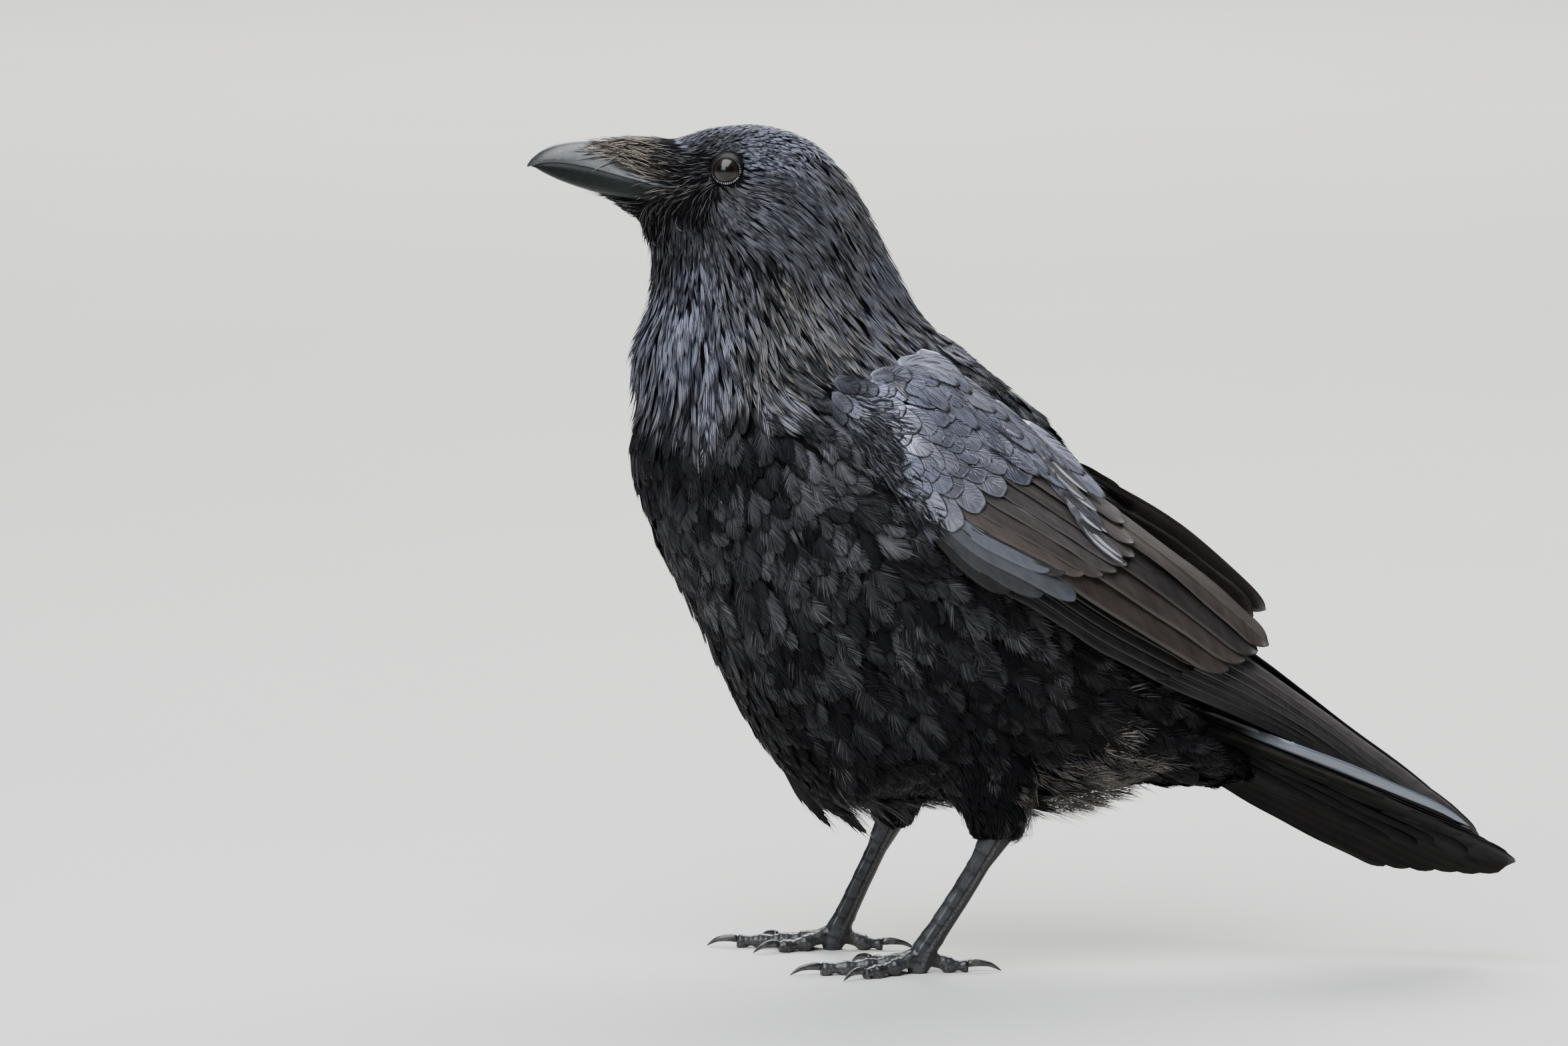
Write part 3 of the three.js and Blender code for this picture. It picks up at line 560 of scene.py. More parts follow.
lid_material = lid_finish()
lids = []
for label, side in SIDES.items():
    out, up, across = looking(side)
    centre = eye_centre(label)
    turns = BEAD_STEPS * LID_BEADS
    angle = np.arange(turns) / turns * 2 * math.pi
    beads = np.abs(np.cos(angle * LID_BEADS / 2)) ** 0.8
    uneven = np.repeat(0.45 + 0.75 * luck.random(LID_BEADS), BEAD_STEPS)
    # painted shade: the beads' pale colour is dimmed above and in front
    beads = beads * uneven * (0.75 - 0.45 * np.sin(angle + LID_DULL * side))
    rings, shades = [], []
    for step, (wide, high) in enumerate(LID_PROFILE):
        rim = LID_RIM.get(step, 0)
        flat = 1.03 - 0.15 * np.sin(angle) ** 2 * (1 - 0.12 * step)
        on_ball = min(wide, LID_EDGE)
        over = np.sqrt(np.clip(EYEBALL ** 2 - (on_ball * flat) ** 2, 0, None))
        over = over - math.sqrt(EYEBALL ** 2 - on_ball ** 2)
        reach = (wide * flat + 0.12 * rim * beads)[:, None] * MM
        rise = (high + over + 0.38 * rim * beads - 0.16 * rim)[:, None] * MM
        spread = np.cos(angle)[:, None] * across + np.sin(angle)[:, None] * up
        rings.append(centre + spread * reach + rise * out)
        shades.append(beads * rim)
    count = len(LID_PROFILE)
    polygons = []
    for step in range(count):
        following = (step + 1) % count
        for turn in range(turns):
            after = (turn + 1) % turns
            face = [ring * turns + corner for ring, corner in (
                (step, turn), (step, after), (following, after), (following, turn))]
            polygons.append(face if side > 0 else face[::-1])
    lid = new_piece("lid_" + label, np.concatenate(rings), polygons, lid_material)
    face_outwards(lid)
    tint(lid.data, *[np.concatenate(shades)] * 4)
    lids.append(lid)

only(skin)
for lid in lids:
    lid.select_set(True)
bpy.ops.object.join()
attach(skin, "root")
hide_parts(*FLESH)

# ------------------------------------------------------------------ bill
# Two halves of polished slate-black horn that meet along a thin dark line; the pale slate grey of
# the upper one is a painted sheen of the sky. The upper one is vaulted, hooks over at its tip and is
# ridged along its cutting edge. The lower one is a trough with a rounded ridge along each side of its keel.

BILL_SECTIONS = [    # place along, culmen, cutting edge, keel and half width, from tip to gape
    (-168.5, 312.9, 311.9, 311.8, 0.6),
    (-166.2, 315.7, 312.6, 312.2, 1.9),
    (-161.5, 319.0, 313.8, 309.6, 3.7),
    (-154.7, 321.6, 313.9, 306.5, 5.4),
    (-145.0, 322.8, 312.5, 303.2, 7.0),
    (-135.5, 322.7, 310.1, 300.9, 8.3),
    (-124.0, 322.0, 307.0, 298.3, 9.2),
    (-114.0, 321.0, 304.0, 294.8, 9.8),
    (-105.0, 318.5, 301.0, 291.0, 10.0),
    (-97.0, 317.0, 299.0, 289.5, 10.0),
]


def track(values):
    """A smooth run through the values of stations, read by station number, and a little past them."""
    rows = np.array(values, float)
    rows = np.vstack([2 * rows[0] - rows[1], rows, 2 * rows[-1] - rows[-2]])

    def read(station):
        station = np.clip(station, -0.5, len(rows) - 2.5)
        first = np.clip(station.astype(int), 0, len(rows) - 4)
        part = (station - first)[..., None]
        a, b, c, d = (rows[first + k] for k in range(4))
        return b + 0.5 * part * (c - a + part * (2 * a - 5 * b + 4 * c - d + part * (3 * (b - c) + d - a)))

    return read


def tube(name, rings, sides, place):
    """A closed tube along z, cut into rings and then bent: place(t, angle, reach) is a point."""
    bpy.ops.object.select_all(action="DESELECT")
    bpy.ops.mesh.primitive_cylinder_add(vertices=sides, radius=1, depth=1, end_fill_type="TRIFAN")
    piece = bpy.context.object
    piece.name = piece.data.name = name
    bpy.ops.object.mode_set(mode="EDIT")
    bpy.ops.mesh.select_all(action="DESELECT")
    bpy.ops.mesh.select_mode(type="EDGE")
    inside = bmesh.from_edit_mesh(piece.data)
    for edge in inside.edges:
        edge.select = abs(edge.verts[0].co.z - edge.verts[1].co.z) > 0.5
    bmesh.update_edit_mesh(piece.data)
    bpy.ops.mesh.subdivide(number_cuts=rings - 1)
    bpy.ops.object.mode_set(mode="OBJECT")
    rows = places(piece.data)
    reach = np.hypot(rows[:, 0], rows[:, 1])
    rows = place(0.5 - rows[:, 2], np.arctan2(rows[:, 0], rows[:, 1]), np.round(reach, 4))
    put(piece.data, rows)
    face_outwards(piece)
    piece.data.shade_smooth()
    return piece


BILL_START = {True: 0.0, False: 0.8}  # the station where the upper and the lower half begin
BILL_END = 8.3
SEAM = 0.12                  # how far each half stands off the line where they meet
bill_run = track(BILL_SECTIONS)


def bill_half(upper):
    """The place of each point of the upper or lower half, for a tube."""
    start, end = BILL_START[upper], BILL_END

    def place(t, angle, reach):
        station = start + (end - start) * t ** 1.15
        x, culmen, edge, keel, half = bill_run(station).T
        rise = np.cos(angle) * reach
        wide = np.sin(angle) * reach
        vault = (culmen - edge) if upper else (edge - keel)
        if upper:
            full = np.abs(wide) ** 0.92 * np.sign(wide)
            height = np.where(rise > 0, vault * np.clip(rise, 0, 1) ** 0.86, 0) + SEAM
            flare = 1 + 0.035 * np.exp(-((height - 1.3) / 0.9) ** 2)
            z = edge + height
        else:
            full = np.abs(wide) ** 0.8 * np.sign(wide)
            height = np.where(rise > 0, vault * np.clip(rise, 0, 1) ** 0.62, 0) + SEAM
            share = height / np.maximum(vault, 0.5)
            ridge = 0.05 * np.exp(-((share - 0.62) / 0.13) ** 2)
            flare = 1 + ridge - 0.03 * np.exp(-((share - 0.35) / 0.15) ** 2)
            z = edge - height
        return drawn(np.column_stack([x, half * full * flare, z]))

    return place


BILL_LENGTH = 60.0
UNDER_BRISTLES = (322.0, 325.0)      # the height above which the bill is painted dark as shade under its bristles


def bill_finish(name, light, dark, sheen, wet):
    """Horn: lighter at the base, darker to the tip, with fine growth lines; the base is painted dark as shade
    under the bristles.
    """
    finish = Finish(name)
    where = finish.place()
    far, _, tall = finish.parts_of(where)
    along = (far * 1000 - (DRAWN_BILL_TIP + SHIFT[0] / MM)) / BILL_LENGTH
    cloud = finish.noise(160, 4, where, 0.6)
    stretched = finish.node("ShaderNodeMapping", {}, {"Vector": where, "Scale": (1.0, 5.0, 7.0)})
    lines = finish.noise(340, 4, stretched, 0.65)
    colour = finish.blend(cloud.between(0.35, 0.7) * 0.6, light, dark)
    colour = finish.blend((along + 0.25 * cloud).between(0.75, 0.25), colour, dark)
    colour = finish.blend(lines.between(0.52, 0.72) * 0.35, colour, sheen)
    flecks = finish.noise(2100, 2, where).between(0.70, 0.78) * cloud.between(0.5, 0.62)
    colour = finish.blend(flecks * 0.35, colour, (0.22, 0.17, 0.10))
    # painted shade where the bristles cover the base of the bill
    painted_bristle_shade = (tall * 1000 + 20 * along - 60 * (0.62 - along).between(0.0, 1.0)).between(*UNDER_BRISTLES)
    colour = finish.blend(painted_bristle_shade, colour, (0.003, 0.003, 0.003))
    worn = finish.bump(lines, 0.16 * MM, 0.45)
    return finish.shade(
        Base_Color=colour, Roughness=0.30 + 0.22 * cloud - 0.06 * lines, Normal=worn,
        Specular_IOR_Level=0.5 * wet, Coat_Weight=(1.0 - painted_bristle_shade) * 0.25 * wet, Coat_Roughness=0.3,
    )


upper_bill = tube("upper_bill", 56, 40, bill_half(True))
# painted sheen: the upper half's pale slate grey stands for the sky's reflection on black horn
upper_bill.data.materials.append(
    bill_finish("bill_upper_horn", (0.155, 0.175, 0.186), (0.016, 0.017, 0.019), (0.22, 0.23, 0.24), 1.0))
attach(upper_bill, "root")
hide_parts("bill_upper")

lower_bill = tube("lower_bill", 56, 40, bill_half(False))
lower_bill.data.materials.append(
    bill_finish("bill_lower_horn", (0.008, 0.011, 0.010), (0.003, 0.004, 0.004), (0.035, 0.042, 0.036), 0.2))
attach(lower_bill, "root")
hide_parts("bill_lower")

# ------------------------------------------------------------------ legs and claws
# Each shank is cased in smooth blue-black scutes in front, with a groove and a strip of rough
# grains behind them. The toes carry small scutes on top, pads below, and claws of curved horn.

FEET = {                     # the line down each shank; which way the foot points, and its toes from that
    "left": {
        "shank": [(14.8, -28, 61), (14.8, -28, 56.5), (-0.3, -27, 30.6), (-14.2, -27, 9), (-17, -27, 0)],
        "heading": 189, "spread": (-48, 0, 27, 176),
    },
    "right": {
        "shank": [(-26.2, 28, 57.5), (-26.2, 28, 53), (-38.8, 27, 26.5), (-46.9, 27, 9), (-49.5, 27, 0)],
        "heading": 172, "spread": (27, 0, -26, 184),
    },
}
TOE_NAMES = ("inner", "middle", "outer", "hind")
BALL_AHEAD = 2.5             # how far the ball of the foot is ahead of the shank
SCUTE = 8.2                  # length of a scute down the front of the shank
SCUTE_STEP = 0.2             # how far each scute's edge stands over the next
TOE_SCUTE = 2.7
TOE_STEP = 0.26
TOE_JOINT = 8.5              # from one joint of a toe to the next
PAD = 0.5                    # how far the pads swell under the joints
KNOB = 0.35                  # how far the joints swell all round
SHANK_HALF = 3.1             # half the shank's depth, fore and aft
GROOVE = -0.22               # where the groove runs behind the scutes, in half depths
GROOVE_WIDTH = 0.12
GROOVE_DEPTH = 0.4
DUSTY = 6                    # height up to which the feet are dusty
LEG_GRAIN = 0.55 * MM
LEG_ROUNDS = 5


def ramp(values, low, high):
    """0 below low, 1 above high, and straight between them."""
    return np.clip((values - low) / (high - low), 0, 1)


def steps_of(share, sharp=0.16):
    """Overlapping scutes: each rises gently and ends in a short step."""
    part = share % 1
    return np.where(part < 1 - sharp, part / (1 - sharp), (1 - part) / sharp) ** 1.5


def leg_finish():
    """Smooth blue-black scutes with painted shade in the creases under their edges, a groove painted dark as
    shade, long rough grains and a black back edge.
    """
    finish = Finish("leg_scale")
    zone, groove, low, crease_shade = finish.tones()
    scute = zone.between(0.6, 1.0)
    rough = zone.between(0.1, 0.4) * (1.0 - scute)
    where = finish.place()
    long = finish.node("ShaderNodeMapping", {}, {
        "Vector": where, "Rotation": (0.0, 0.5, 0.0), "Scale": (1.2, 1.2, 0.4)})
    grains = finish.node(
        "ShaderNodeTexVoronoi", {"feature": "DISTANCE_TO_EDGE"}, {"Vector": long, "Scale": 1000.0})
    cloud = finish.noise(190, 4, where)
    fine = grains.between(0.0, 0.14)
    colour = finish.blend(cloud.between(0.3, 0.75), (0.008, 0.0095, 0.012), (0.032, 0.036, 0.042))
    colour = finish.blend(1.0 - scute, colour, (0.008, 0.0075, 0.007))
    colour = finish.blend(fine * rough * cloud * 1.1, colour, (0.085, 0.083, 0.084))
    colour = finish.blend(low * cloud.between(0.45, 0.7) * 0.4, colour, (0.10, 0.08, 0.06))
    # painted shade: the creases under the scutes' edges and the groove are painted near black
    dark = (0.85 * crease_shade + groove).between(0.0, 1.0)
    colour = finish.blend(dark * 0.9, colour, (0.0015, 0.0015, 0.0015))
    height = fine * rough + 0.25 * finish.noise(1400, 2, where)
    dull = (0.6 * crease_shade + groove + (1.0 - scute) * 0.6).between(0.0, 1.0)
    return finish.shade(
        Base_Color=colour, Roughness=0.3 + 0.16 * cloud + 0.25 * dull,
        Normal=finish.bump(height, 0.12 * MM, 0.6), Coat_Weight=0.35 * (1.0 - dull), Coat_Roughness=0.25,
        Specular_IOR_Level=0.3,
    )


leg_material = leg_finish()
for label, foot in FEET.items():
    names = ["tarsus_" + label] + ["toe_%s_%s" % (toe, label) for toe in TOE_NAMES]
    leg = grown("leg_" + label, names, LEG_GRAIN, LEG_ROUNDS)
    rows = undrawn(places(leg.data))
    out = facings(leg.data)
    run = np.linspace(0, len(foot["shank"]) - 1, 240)
    line = track(foot["shank"])(run)
    length = np.concatenate([[0], np.cumsum(np.linalg.norm(np.diff(line, axis=0), axis=1))])
    nearest = np.linalg.norm(rows[:, None] - line[None], axis=2).argmin(axis=1)
    ball = np.array(foot["shank"][3]) - (BALL_AHEAD, 0, 0)
    ways = np.radians(foot["heading"] + np.array(foot["spread"]))
    ways = np.column_stack([np.cos(ways), np.sin(ways)])
    reach = (rows[:, :2] - ball[:2]) @ ways.T
    off = np.abs((rows[:, :1] - ball[0]) * ways[:, 1] - (rows[:, 1:2] - ball[1]) * ways[:, 0])
    toe = np.where(reach > 3, off, 99).argmin(axis=1)
    along_toe = reach[np.arange(len(rows)), toe]
    on_toe = np.clip((along_toe - 5) / 5, 0, 1) * (rows[:, 2] < 11)
    way = unit(np.gradient(line, axis=0))[nearest]
    fore = unit(np.array([-1.0, 0, 0]) + way[:, :1] * way)
    ahead = ((rows - line[nearest]) * fore).sum(axis=1) / SHANK_HALF
    front = ramp(ahead, GROOVE - 0.1, GROOVE + 0.12) * (1 - on_toe)
    aside = np.clip(np.abs(out[:, 1]) * 2 - 0.5, 0, 1) * ramp(rows[:, 2], 8, 13) * (1 - on_toe)
    groove = np.exp(-((ahead - GROOVE) / GROOVE_WIDTH) ** 2) * aside
    zone = (ramp(ahead, GROOVE - 0.62, GROOVE - 0.42) + front) / 2 * (1 - on_toe)
    on_top = np.clip((out[:, 2] + 0.1) / 0.5, 0, 1) * on_toe
    shank_step = steps_of(length[nearest] / SCUTE)
    toe_step = steps_of(along_toe / TOE_SCUTE, 0.3)
    joints = np.cos(2 * math.pi * (along_toe - 3) / TOE_JOINT) * on_toe
    swell = joints * (PAD * np.clip(-out[:, 2] + 0.2, 0, 1) + KNOB)
    scutes = SCUTE_STEP * (shank_step - 0.5) * front + TOE_STEP * (toe_step - 0.5) * on_top
    rows = rows + out * (scutes + swell - GROOVE_DEPTH * groove)[:, None]
    rows[:, 2] = np.maximum(rows[:, 2], 0.0)
    put(leg.data, drawn(rows))
    # the mask of painted shade under each scute's edge
    crease_shade = np.clip(1 - 9 * (shank_step * front + toe_step * on_top), 0, 1) * (front + on_top > 0.4)
    dust = np.clip((DUSTY - rows[:, 2]) / DUSTY, 0, 1)
    tint(leg.data, zone + (0.5 + 0.5 * on_top) * on_toe, groove, dust, crease_shade)
    leg.data.shade_smooth()
    leg.data.materials.clear()
    leg.data.materials.append(leg_material)
    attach(leg, "root")
    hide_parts(*names)


def claw_finish():
    """Smooth black horn with grey streaks."""
    finish = Finish("claw_horn")
    streaks = finish.noise(420, 3)
    colour = finish.blend(streaks.between(0.4, 0.7), (0.010, 0.010, 0.011), (0.045, 0.040, 0.036))
    return finish.shade(
        Base_Color=colour, Roughness=0.24 + 0.15 * streaks, Coat_Weight=0.3, Coat_Roughness=0.2)


claw_nodes = ["claw_%s_%s" % (toe, label) for label in SIDES for toe in TOE_NAMES]
claws = merged_copy("claws", claw_nodes)
apply_modifier(claws, "SUBSURF", levels=2)
claws.data.shade_smooth()
claws.data.materials.clear()
claws.data.materials.append(claw_finish())
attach(claws, "root")
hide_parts(*claw_nodes)

# ------------------------------------------------------------------ wings
# The folded wing is a stack of stiff vanes: primaries at the bottom, secondaries over them, then
# the long brown tertials, the greater coverts, and the alula along the low edge. Each feather is
# a thin cambered blade with a raised shaft, and its low edge lies over the next one down.

SHAFT_SECTION = [(-1, 0), (0, 1), (1, 0)]
VANE_SECTION = [(-1, 0), (-0.55, 0.72), (0, 1), (0.55, 0.72), (1, 0), (0, 0.72)]
BLADE_TOP = [-1, -0.8, -0.55, -0.3, -0.07, 0, 0.07, 0.3, 0.55, 0.8, 1]
BLADE_BELLY = [0.6, 0, -0.6]
BLADE_THICKNESS = 0.3
BLADE_SHAFT = 0.42           # how far the shaft stands up from the vane at its root
BLADE_CAMBER = 0.9
BLADE_WAVES = 4              # slow waves that keep a vane from lying dead flat
BLADE_RINGS = 30
BARB_SLANT = 1.15            # how far barbs run towards the tip, for each millimetre out
PATCH = 0.003                # width of a body feather's patch on its bake map


def closed_faces(rings, section):
    """The faces of a closed ribbon that has a point at each end."""
    last = 1 + (rings - 2) * section

    def at(ring, corner):
        return 1 + (ring - 1) * section + corner % section

    faces = [(0, at(1, k + 1), at(1, k)) for k in range(section)]
    for ring in range(1, rings - 2):
        faces += [
            (at(ring, k), at(ring, k + 1), at(ring + 1, k + 1), at(ring + 1, k)) for k in range(section)]
    return faces + [(last, at(rings - 2, k), at(rings - 2, k + 1)) for k in range(section)]


def inside_out(points, faces):
    """True if the faces of a closed form point inwards."""
    total = 0
    middle = points.mean(axis=0)
    for face in faces:
        for a, b in zip(face[1:-1], face[2:]):
            total += np.dot(points[face[0]] - middle, np.cross(points[a] - middle, points[b] - middle))
    return total < 0


class Coat:
    """Gathers closed ribbons of feather, and makes them one piece."""

    def __init__(self, name, finish, slot):
        self.name = name
        self.finish = finish
        self.slot = slot
        self.lots = []

    def add(self, rows, along, tone, chart, across=None, size=(PATCH, PATCH), mark=None):
        """rows: ribbon, ring, corner, xyz; along: ribbon, ring; tone: ribbon, 3; chart: ribbon, 2."""
        count, rings, corners, _ = rows.shape
        if not count:
            return

        def capped(values):
            """Values of each ribbon's corners, with one for the point at each end."""
            inner = values[:, 1:-1].reshape(count, -1, *values.shape[3:])
            return np.concatenate([values[:, :1].mean(axis=2), inner, values[:, -1:].mean(axis=2)], axis=1)

        if across is None:
            across = np.broadcast_to(np.linspace(-0.5, 0.5, corners), rows.shape[:3])
        points = capped(rows)
        faces = closed_faces(rings, corners)
        if inside_out(points[0], faces):
            faces = [face[::-1] for face in faces]
        far = np.clip(capped(np.broadcast_to(along[:, :, None], rows.shape[:3])), 0, 1)
        shade = np.concatenate([np.broadcast_to(tone[:, None, :], (*far.shape, 3)), far[..., None]], axis=-1)
        uv = chart[:, None, :] + np.array(size) * np.stack([capped(across), far - 0.5], axis=-1)
        if mark is None:
            mark = np.zeros(rows.shape)
        self.lots.append((points, faces, shade, uv, capped(mark)))

    def make(self):
        """One mesh of all that was gathered, with its tones, the run of its barbs and its bake map."""
        corners, starts, points, shades, uvs, marks = [], [], [], [], [], []
        base = corner = 0
        for rows, faces, shade, uv, mark in self.lots:
            count, size, _ = rows.shape
            flat = np.concatenate([np.array(face) for face in faces])
            sizes = np.array([len(face) for face in faces])
            edges = np.concatenate([[0], np.cumsum(sizes)[:-1]])
            corners.append((flat[None] + np.arange(count)[:, None] * size + base).ravel())
            starts.append((edges[None] + np.arange(count)[:, None] * len(flat) + corner).ravel())
            points.append(rows.reshape(-1, 3))
            shades.append(shade.reshape(-1, 4))
            uvs.append(uv.reshape(-1, 2))
            marks.append(mark.reshape(-1, 3))
            base += count * size
            corner += count * len(flat)
        corners, starts = np.concatenate(corners), np.concatenate(starts)
        mesh = bpy.data.meshes.new(self.name)
        mesh.vertices.add(base)
        mesh.vertices.foreach_set("co", np.concatenate(points).astype(np.float32).ravel())
        mesh.loops.add(len(corners))
        mesh.loops.foreach_set("vertex_index", corners.astype(np.int32))
        mesh.polygons.add(len(starts))
        mesh.polygons.foreach_set("loop_start", starts.astype(np.int32))
        mesh.update(calc_edges=True)
        mesh.shade_smooth()
        tint(mesh, *np.concatenate(shades).T)
        mark = mesh.attributes.new(name="barbs", type="FLOAT_VECTOR", domain="POINT")
        mark.data.foreach_set("vector", np.concatenate(marks).astype(np.float32).ravel())
        layer = mesh.uv_layers.new(name="OFBake")
        layer.uv.foreach_set("vector", np.concatenate(uvs)[corners].astype(np.float32).ravel())
        mesh.materials.append(self.finish)
        piece = bpy.data.objects.new(self.name, mesh)
        bpy.context.scene.collection.objects.link(piece)
        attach(piece, "root")
        return piece


class Sheet:
    """A curved sheet along one side of the bird that feathers lie in, in drawing millimetres."""

    def __init__(self, stations, far_lift=0.0):
        self.top = track([station[0] for station in stations])
        self.low = track([station[1] for station in stations])
        self.bow = track([(station[2],) for station in stations])
        self.far_lift = far_lift

    def face(self, along, across):
        """Places on the sheet: along by station, and across from -1 at its low edge to 1."""
        top, low = self.top(along), self.low(along)
        spot = (top + low) / 2 + (top - low) / 2 * across[..., None]
        spot[..., 1] += self.bow(along)[..., 0] * (1 - across ** 2)
        return spot

    def axes(self, along, across):
        """At each place: forwards and upwards per unit of along and across, and the way out."""
        step = 0.02
        ahead = (self.face(along + step, across) - self.face(along - step, across)) / (2 * step)
        upward = (self.face(along, across + step) - self.face(along, across - step)) / (2 * step)
        out = unit(np.cross(upward, ahead))
        return ahead, upward, out * np.sign(out[..., 1:2])

    def at(self, side, along, across, height):
        """Points a height over the sheet, on one side of the bird, in the frame."""
        out = self.axes(along, across)[2]
        spot = self.face(along, across) + out * height[..., None]
        if side > 0 and self.far_lift:
            ease = [np.clip(share, 0, 1) for share in ((along - 2.5) / 2.9, (across + 1) / 1.8)]
            lift = np.prod([share ** 2 * (3 - 2 * share) for share in ease], axis=0)
            spot[..., 2] += self.far_lift * lift
        spot[..., 1] *= side
        return drawn(spot)


wing_sheet = Sheet([         # stations from front to back: the top edge, the low edge, and the bow between
    ((-38, 47, 237), (-42, 50, 213), 3),
    ((-14, 36, 237), (-20, 58, 189), 8),
    ((8, 31, 222), (3, 60, 163), 10),
    ((31, 24, 205), (31, 56, 146.5), 10.5),
    ((55, 17.5, 188), (57, 47.5, 129), 10),
    ((86, 13, 164.5), (83, 39, 116), 6.5),
    ((109, 11, 144), (104, 32, 107), 4),
    ((122, 10, 131), (118, 26, 106), 2.5),
], far_lift=10.5)
primary_sheet = Sheet([
    ((31, 41, 174), (26, 45, 147), 1),
    ((68, 29, 147), (68, 33.5, 121), 1.5),
    ((107, 20, 127), (107, 25, 102), 1.5),
    ((135, 13, 106.5), (135, 19, 89), 1),
    ((162, 10, 85.5), (160, 15, 73), 0.5),
    ((185, 9, 67), (183, 12.5, 59.5), 0),
    ((204.5, 8, 53), (202.5, 10.5, 48), 0),
])


def widths(share, blunt):
    """The half width of a vane along it: full soon after the root, and round at the tip."""
    root = 1 - np.exp(-(share + 0.01) / 0.05)
    tip = np.sqrt(np.clip(1 - (np.clip(share - blunt, 0, 1) / (1 - blunt)) ** 2, 0, 1))
    return root * tip


def lay_blade(coat, spot, root, tip, width, depth, tilt, tone, chart, blunt, bend=0.0):
    """One flight feather: spot(root, tip, share, aside, height, bend) gives its points on a sheet."""
    share = 1 - (1 - np.linspace(0, 1, BLADE_RINGS)) ** 1.35
    across = np.array(BLADE_TOP + BLADE_BELLY)
    belly = len(BLADE_TOP)
    vane = np.where(across < 0, width[0], width[1])
    shape = np.where(across < 0, *(widths(share, end)[:, None] for end in blunt))
    aside = across * vane * shape
    edge = np.abs(across)[None] * shape
    shaft = BLADE_SHAFT * (across == 0)
    height = tilt * -across - BLADE_CAMBER * np.abs(edge) ** 2 + shaft * (1 - 0.85 * share[:, None])
    height[:, belly:] -= BLADE_THICKNESS + BLADE_SHAFT * (1 - share[:, None]) * (across[belly:] == 0)
    waves = (BLADE_WAVES, 1, 1)
    wave = luck.normal(0, 0.16, waves) * np.sin(
        (np.arange(1, BLADE_WAVES + 1) * 2.1)[:, None, None] * share[:, None] * 3
        + luck.random(waves) * 6 + across * 1.5)
    height = height - depth + wave.sum(axis=0) * edge
    none = np.zeros((1, 1))
    ends = [spot(root, tip, end, none, none, bend) for end in (share[:1, None], share[-1:, None])]
    length = np.linalg.norm(ends[1] - ends[0]) / MM
    rows = spot(root, tip, share[:, None] + 0 * aside, aside, height, bend)
    out = share[:, None] * length - BARB_SLANT * np.abs(aside)
    mark = np.stack([out, across[None] * shape, np.full(aside.shape, tone[2])], axis=-1)
    flat = across / 4 + 0.25
    flat[belly:] = 0.75 - across[belly:] / 4
    coat.add(
        rows[None], share[None], np.array([tone]), np.array([(chart[0], 0.5)]),
        np.broadcast_to(flat, (1, *aside.shape)), (chart[1], 0.96), mark[None])


def strip_of(i, count):
    """The strip of the bake map for one of a row of feathers: its middle or edge, and its width."""
    return (i + 0.02) / count, 0.96 / count


def on_sheet(sheet, side):
    """Places of a feather that runs from root to tip over a sheet, moved aside in millimetres."""
    def spot(root, tip, share, aside, height, bend):
        along = root[0] + (tip[0] - root[0]) * share
        across = root[1] + (tip[1] - root[1]) * share + bend * np.sin(math.pi * share)
        ahead, upward, out = sheet.axes(along, across)
        run = ahead * (tip[0] - root[0]) + upward * (
            tip[1] - root[1] + bend * math.pi * np.cos(math.pi * share))[..., None]
        sideways = unit(np.cross(run, out))
        sideways *= np.sign((sideways * upward).sum(axis=-1, keepdims=True))
        move = sideways * aside[..., None]
        # The move aside is found in the sheet's own measures, so the vane stays on the sheet.
        aa, au, uu = (ahead ** 2).sum(-1), (ahead * upward).sum(-1), (upward ** 2).sum(-1)
        ma, mu = (move * ahead).sum(-1), (move * upward).sum(-1)
        scale = aa * uu - au ** 2
        along, across = along + (ma * uu - mu * au) / scale, across + (mu * aa - ma * au) / scale
        return sheet.at(side, along, across, height)

    return spot


FLIGHT = [
    # group, sheet, count, roots of the lowest and highest, tips from low to high (along, across),
    # width of the low and high vanes, depth, tilt, bluntness of their tips, wear, and then gloss
    # and brightness of the lowest and highest, which paint the higher feathers lit and the lower in shade
    ("primaries", primary_sheet, 6, [(0.6, -0.9), (0.6, 0.6)],
     [(4.35, -0.9), (5.1, -0.7), (5.75, -0.45), (6.0, -0.2), (5.8, 0.1), (5.3, 0.35)],
     (3.0, 5.6), 0.8, 1.3, (0.75, 0.8), 0.5, (0.04, 0.08), (0.25, 0.9)),
    ("secondaries", wing_sheet, 7, [(2.2, -0.98), (2.2, 0.25)],
     [(4.95, -0.96), (5.15, -0.8), (5.35, -0.62), (5.5, -0.45), (5.68, -0.28), (5.85, -0.1), (5.95, 0.1)],
     (4.0, 9.0), 4.4, 1.9, (0.9, 0.86), 0.2, (0.0, 0.0), (0.05, 0.15)),
    ("tertials", wing_sheet, 4, [(2.2, -0.15), (2.2, 0.85)],
     [(5.95, -0.28), (6.3, 0.06), (6.65, 0.38), (6.98, 0.72)],
     (8.0, 9.5), 2.2, 1.7, (0.84, 0.84), 0.8, (0.04, 0.04), (0.5, 0.7)),
    ("greater_coverts", wing_sheet, 8, [(1.35, -0.5), (2.5, 0.85)],
     [(3.35, -0.3), (3.65, -0.16), (3.95, -0.02), (4.15, 0.13), (4.3, 0.3), (4.4, 0.47), (4.4, 0.64),
      (4.3, 0.82)],
     (5.2, 6.6), 0.7, 1.2, (0.88, 0.88), 0.85, (0.1, 0.13), (0.6, 0.8)),
    ("alula", wing_sheet, 4, [(1.0, -0.95), (1.15, -0.55)],
     [(2.55, -0.98), (3.0, -0.8), (3.5, -0.58), (3.1, -0.42)],
     (4.6, 5.4), 0.4, 1.0, (0.84, 0.84), 0.2, (0.02, 0.6), (0.1, 1.0)),
]


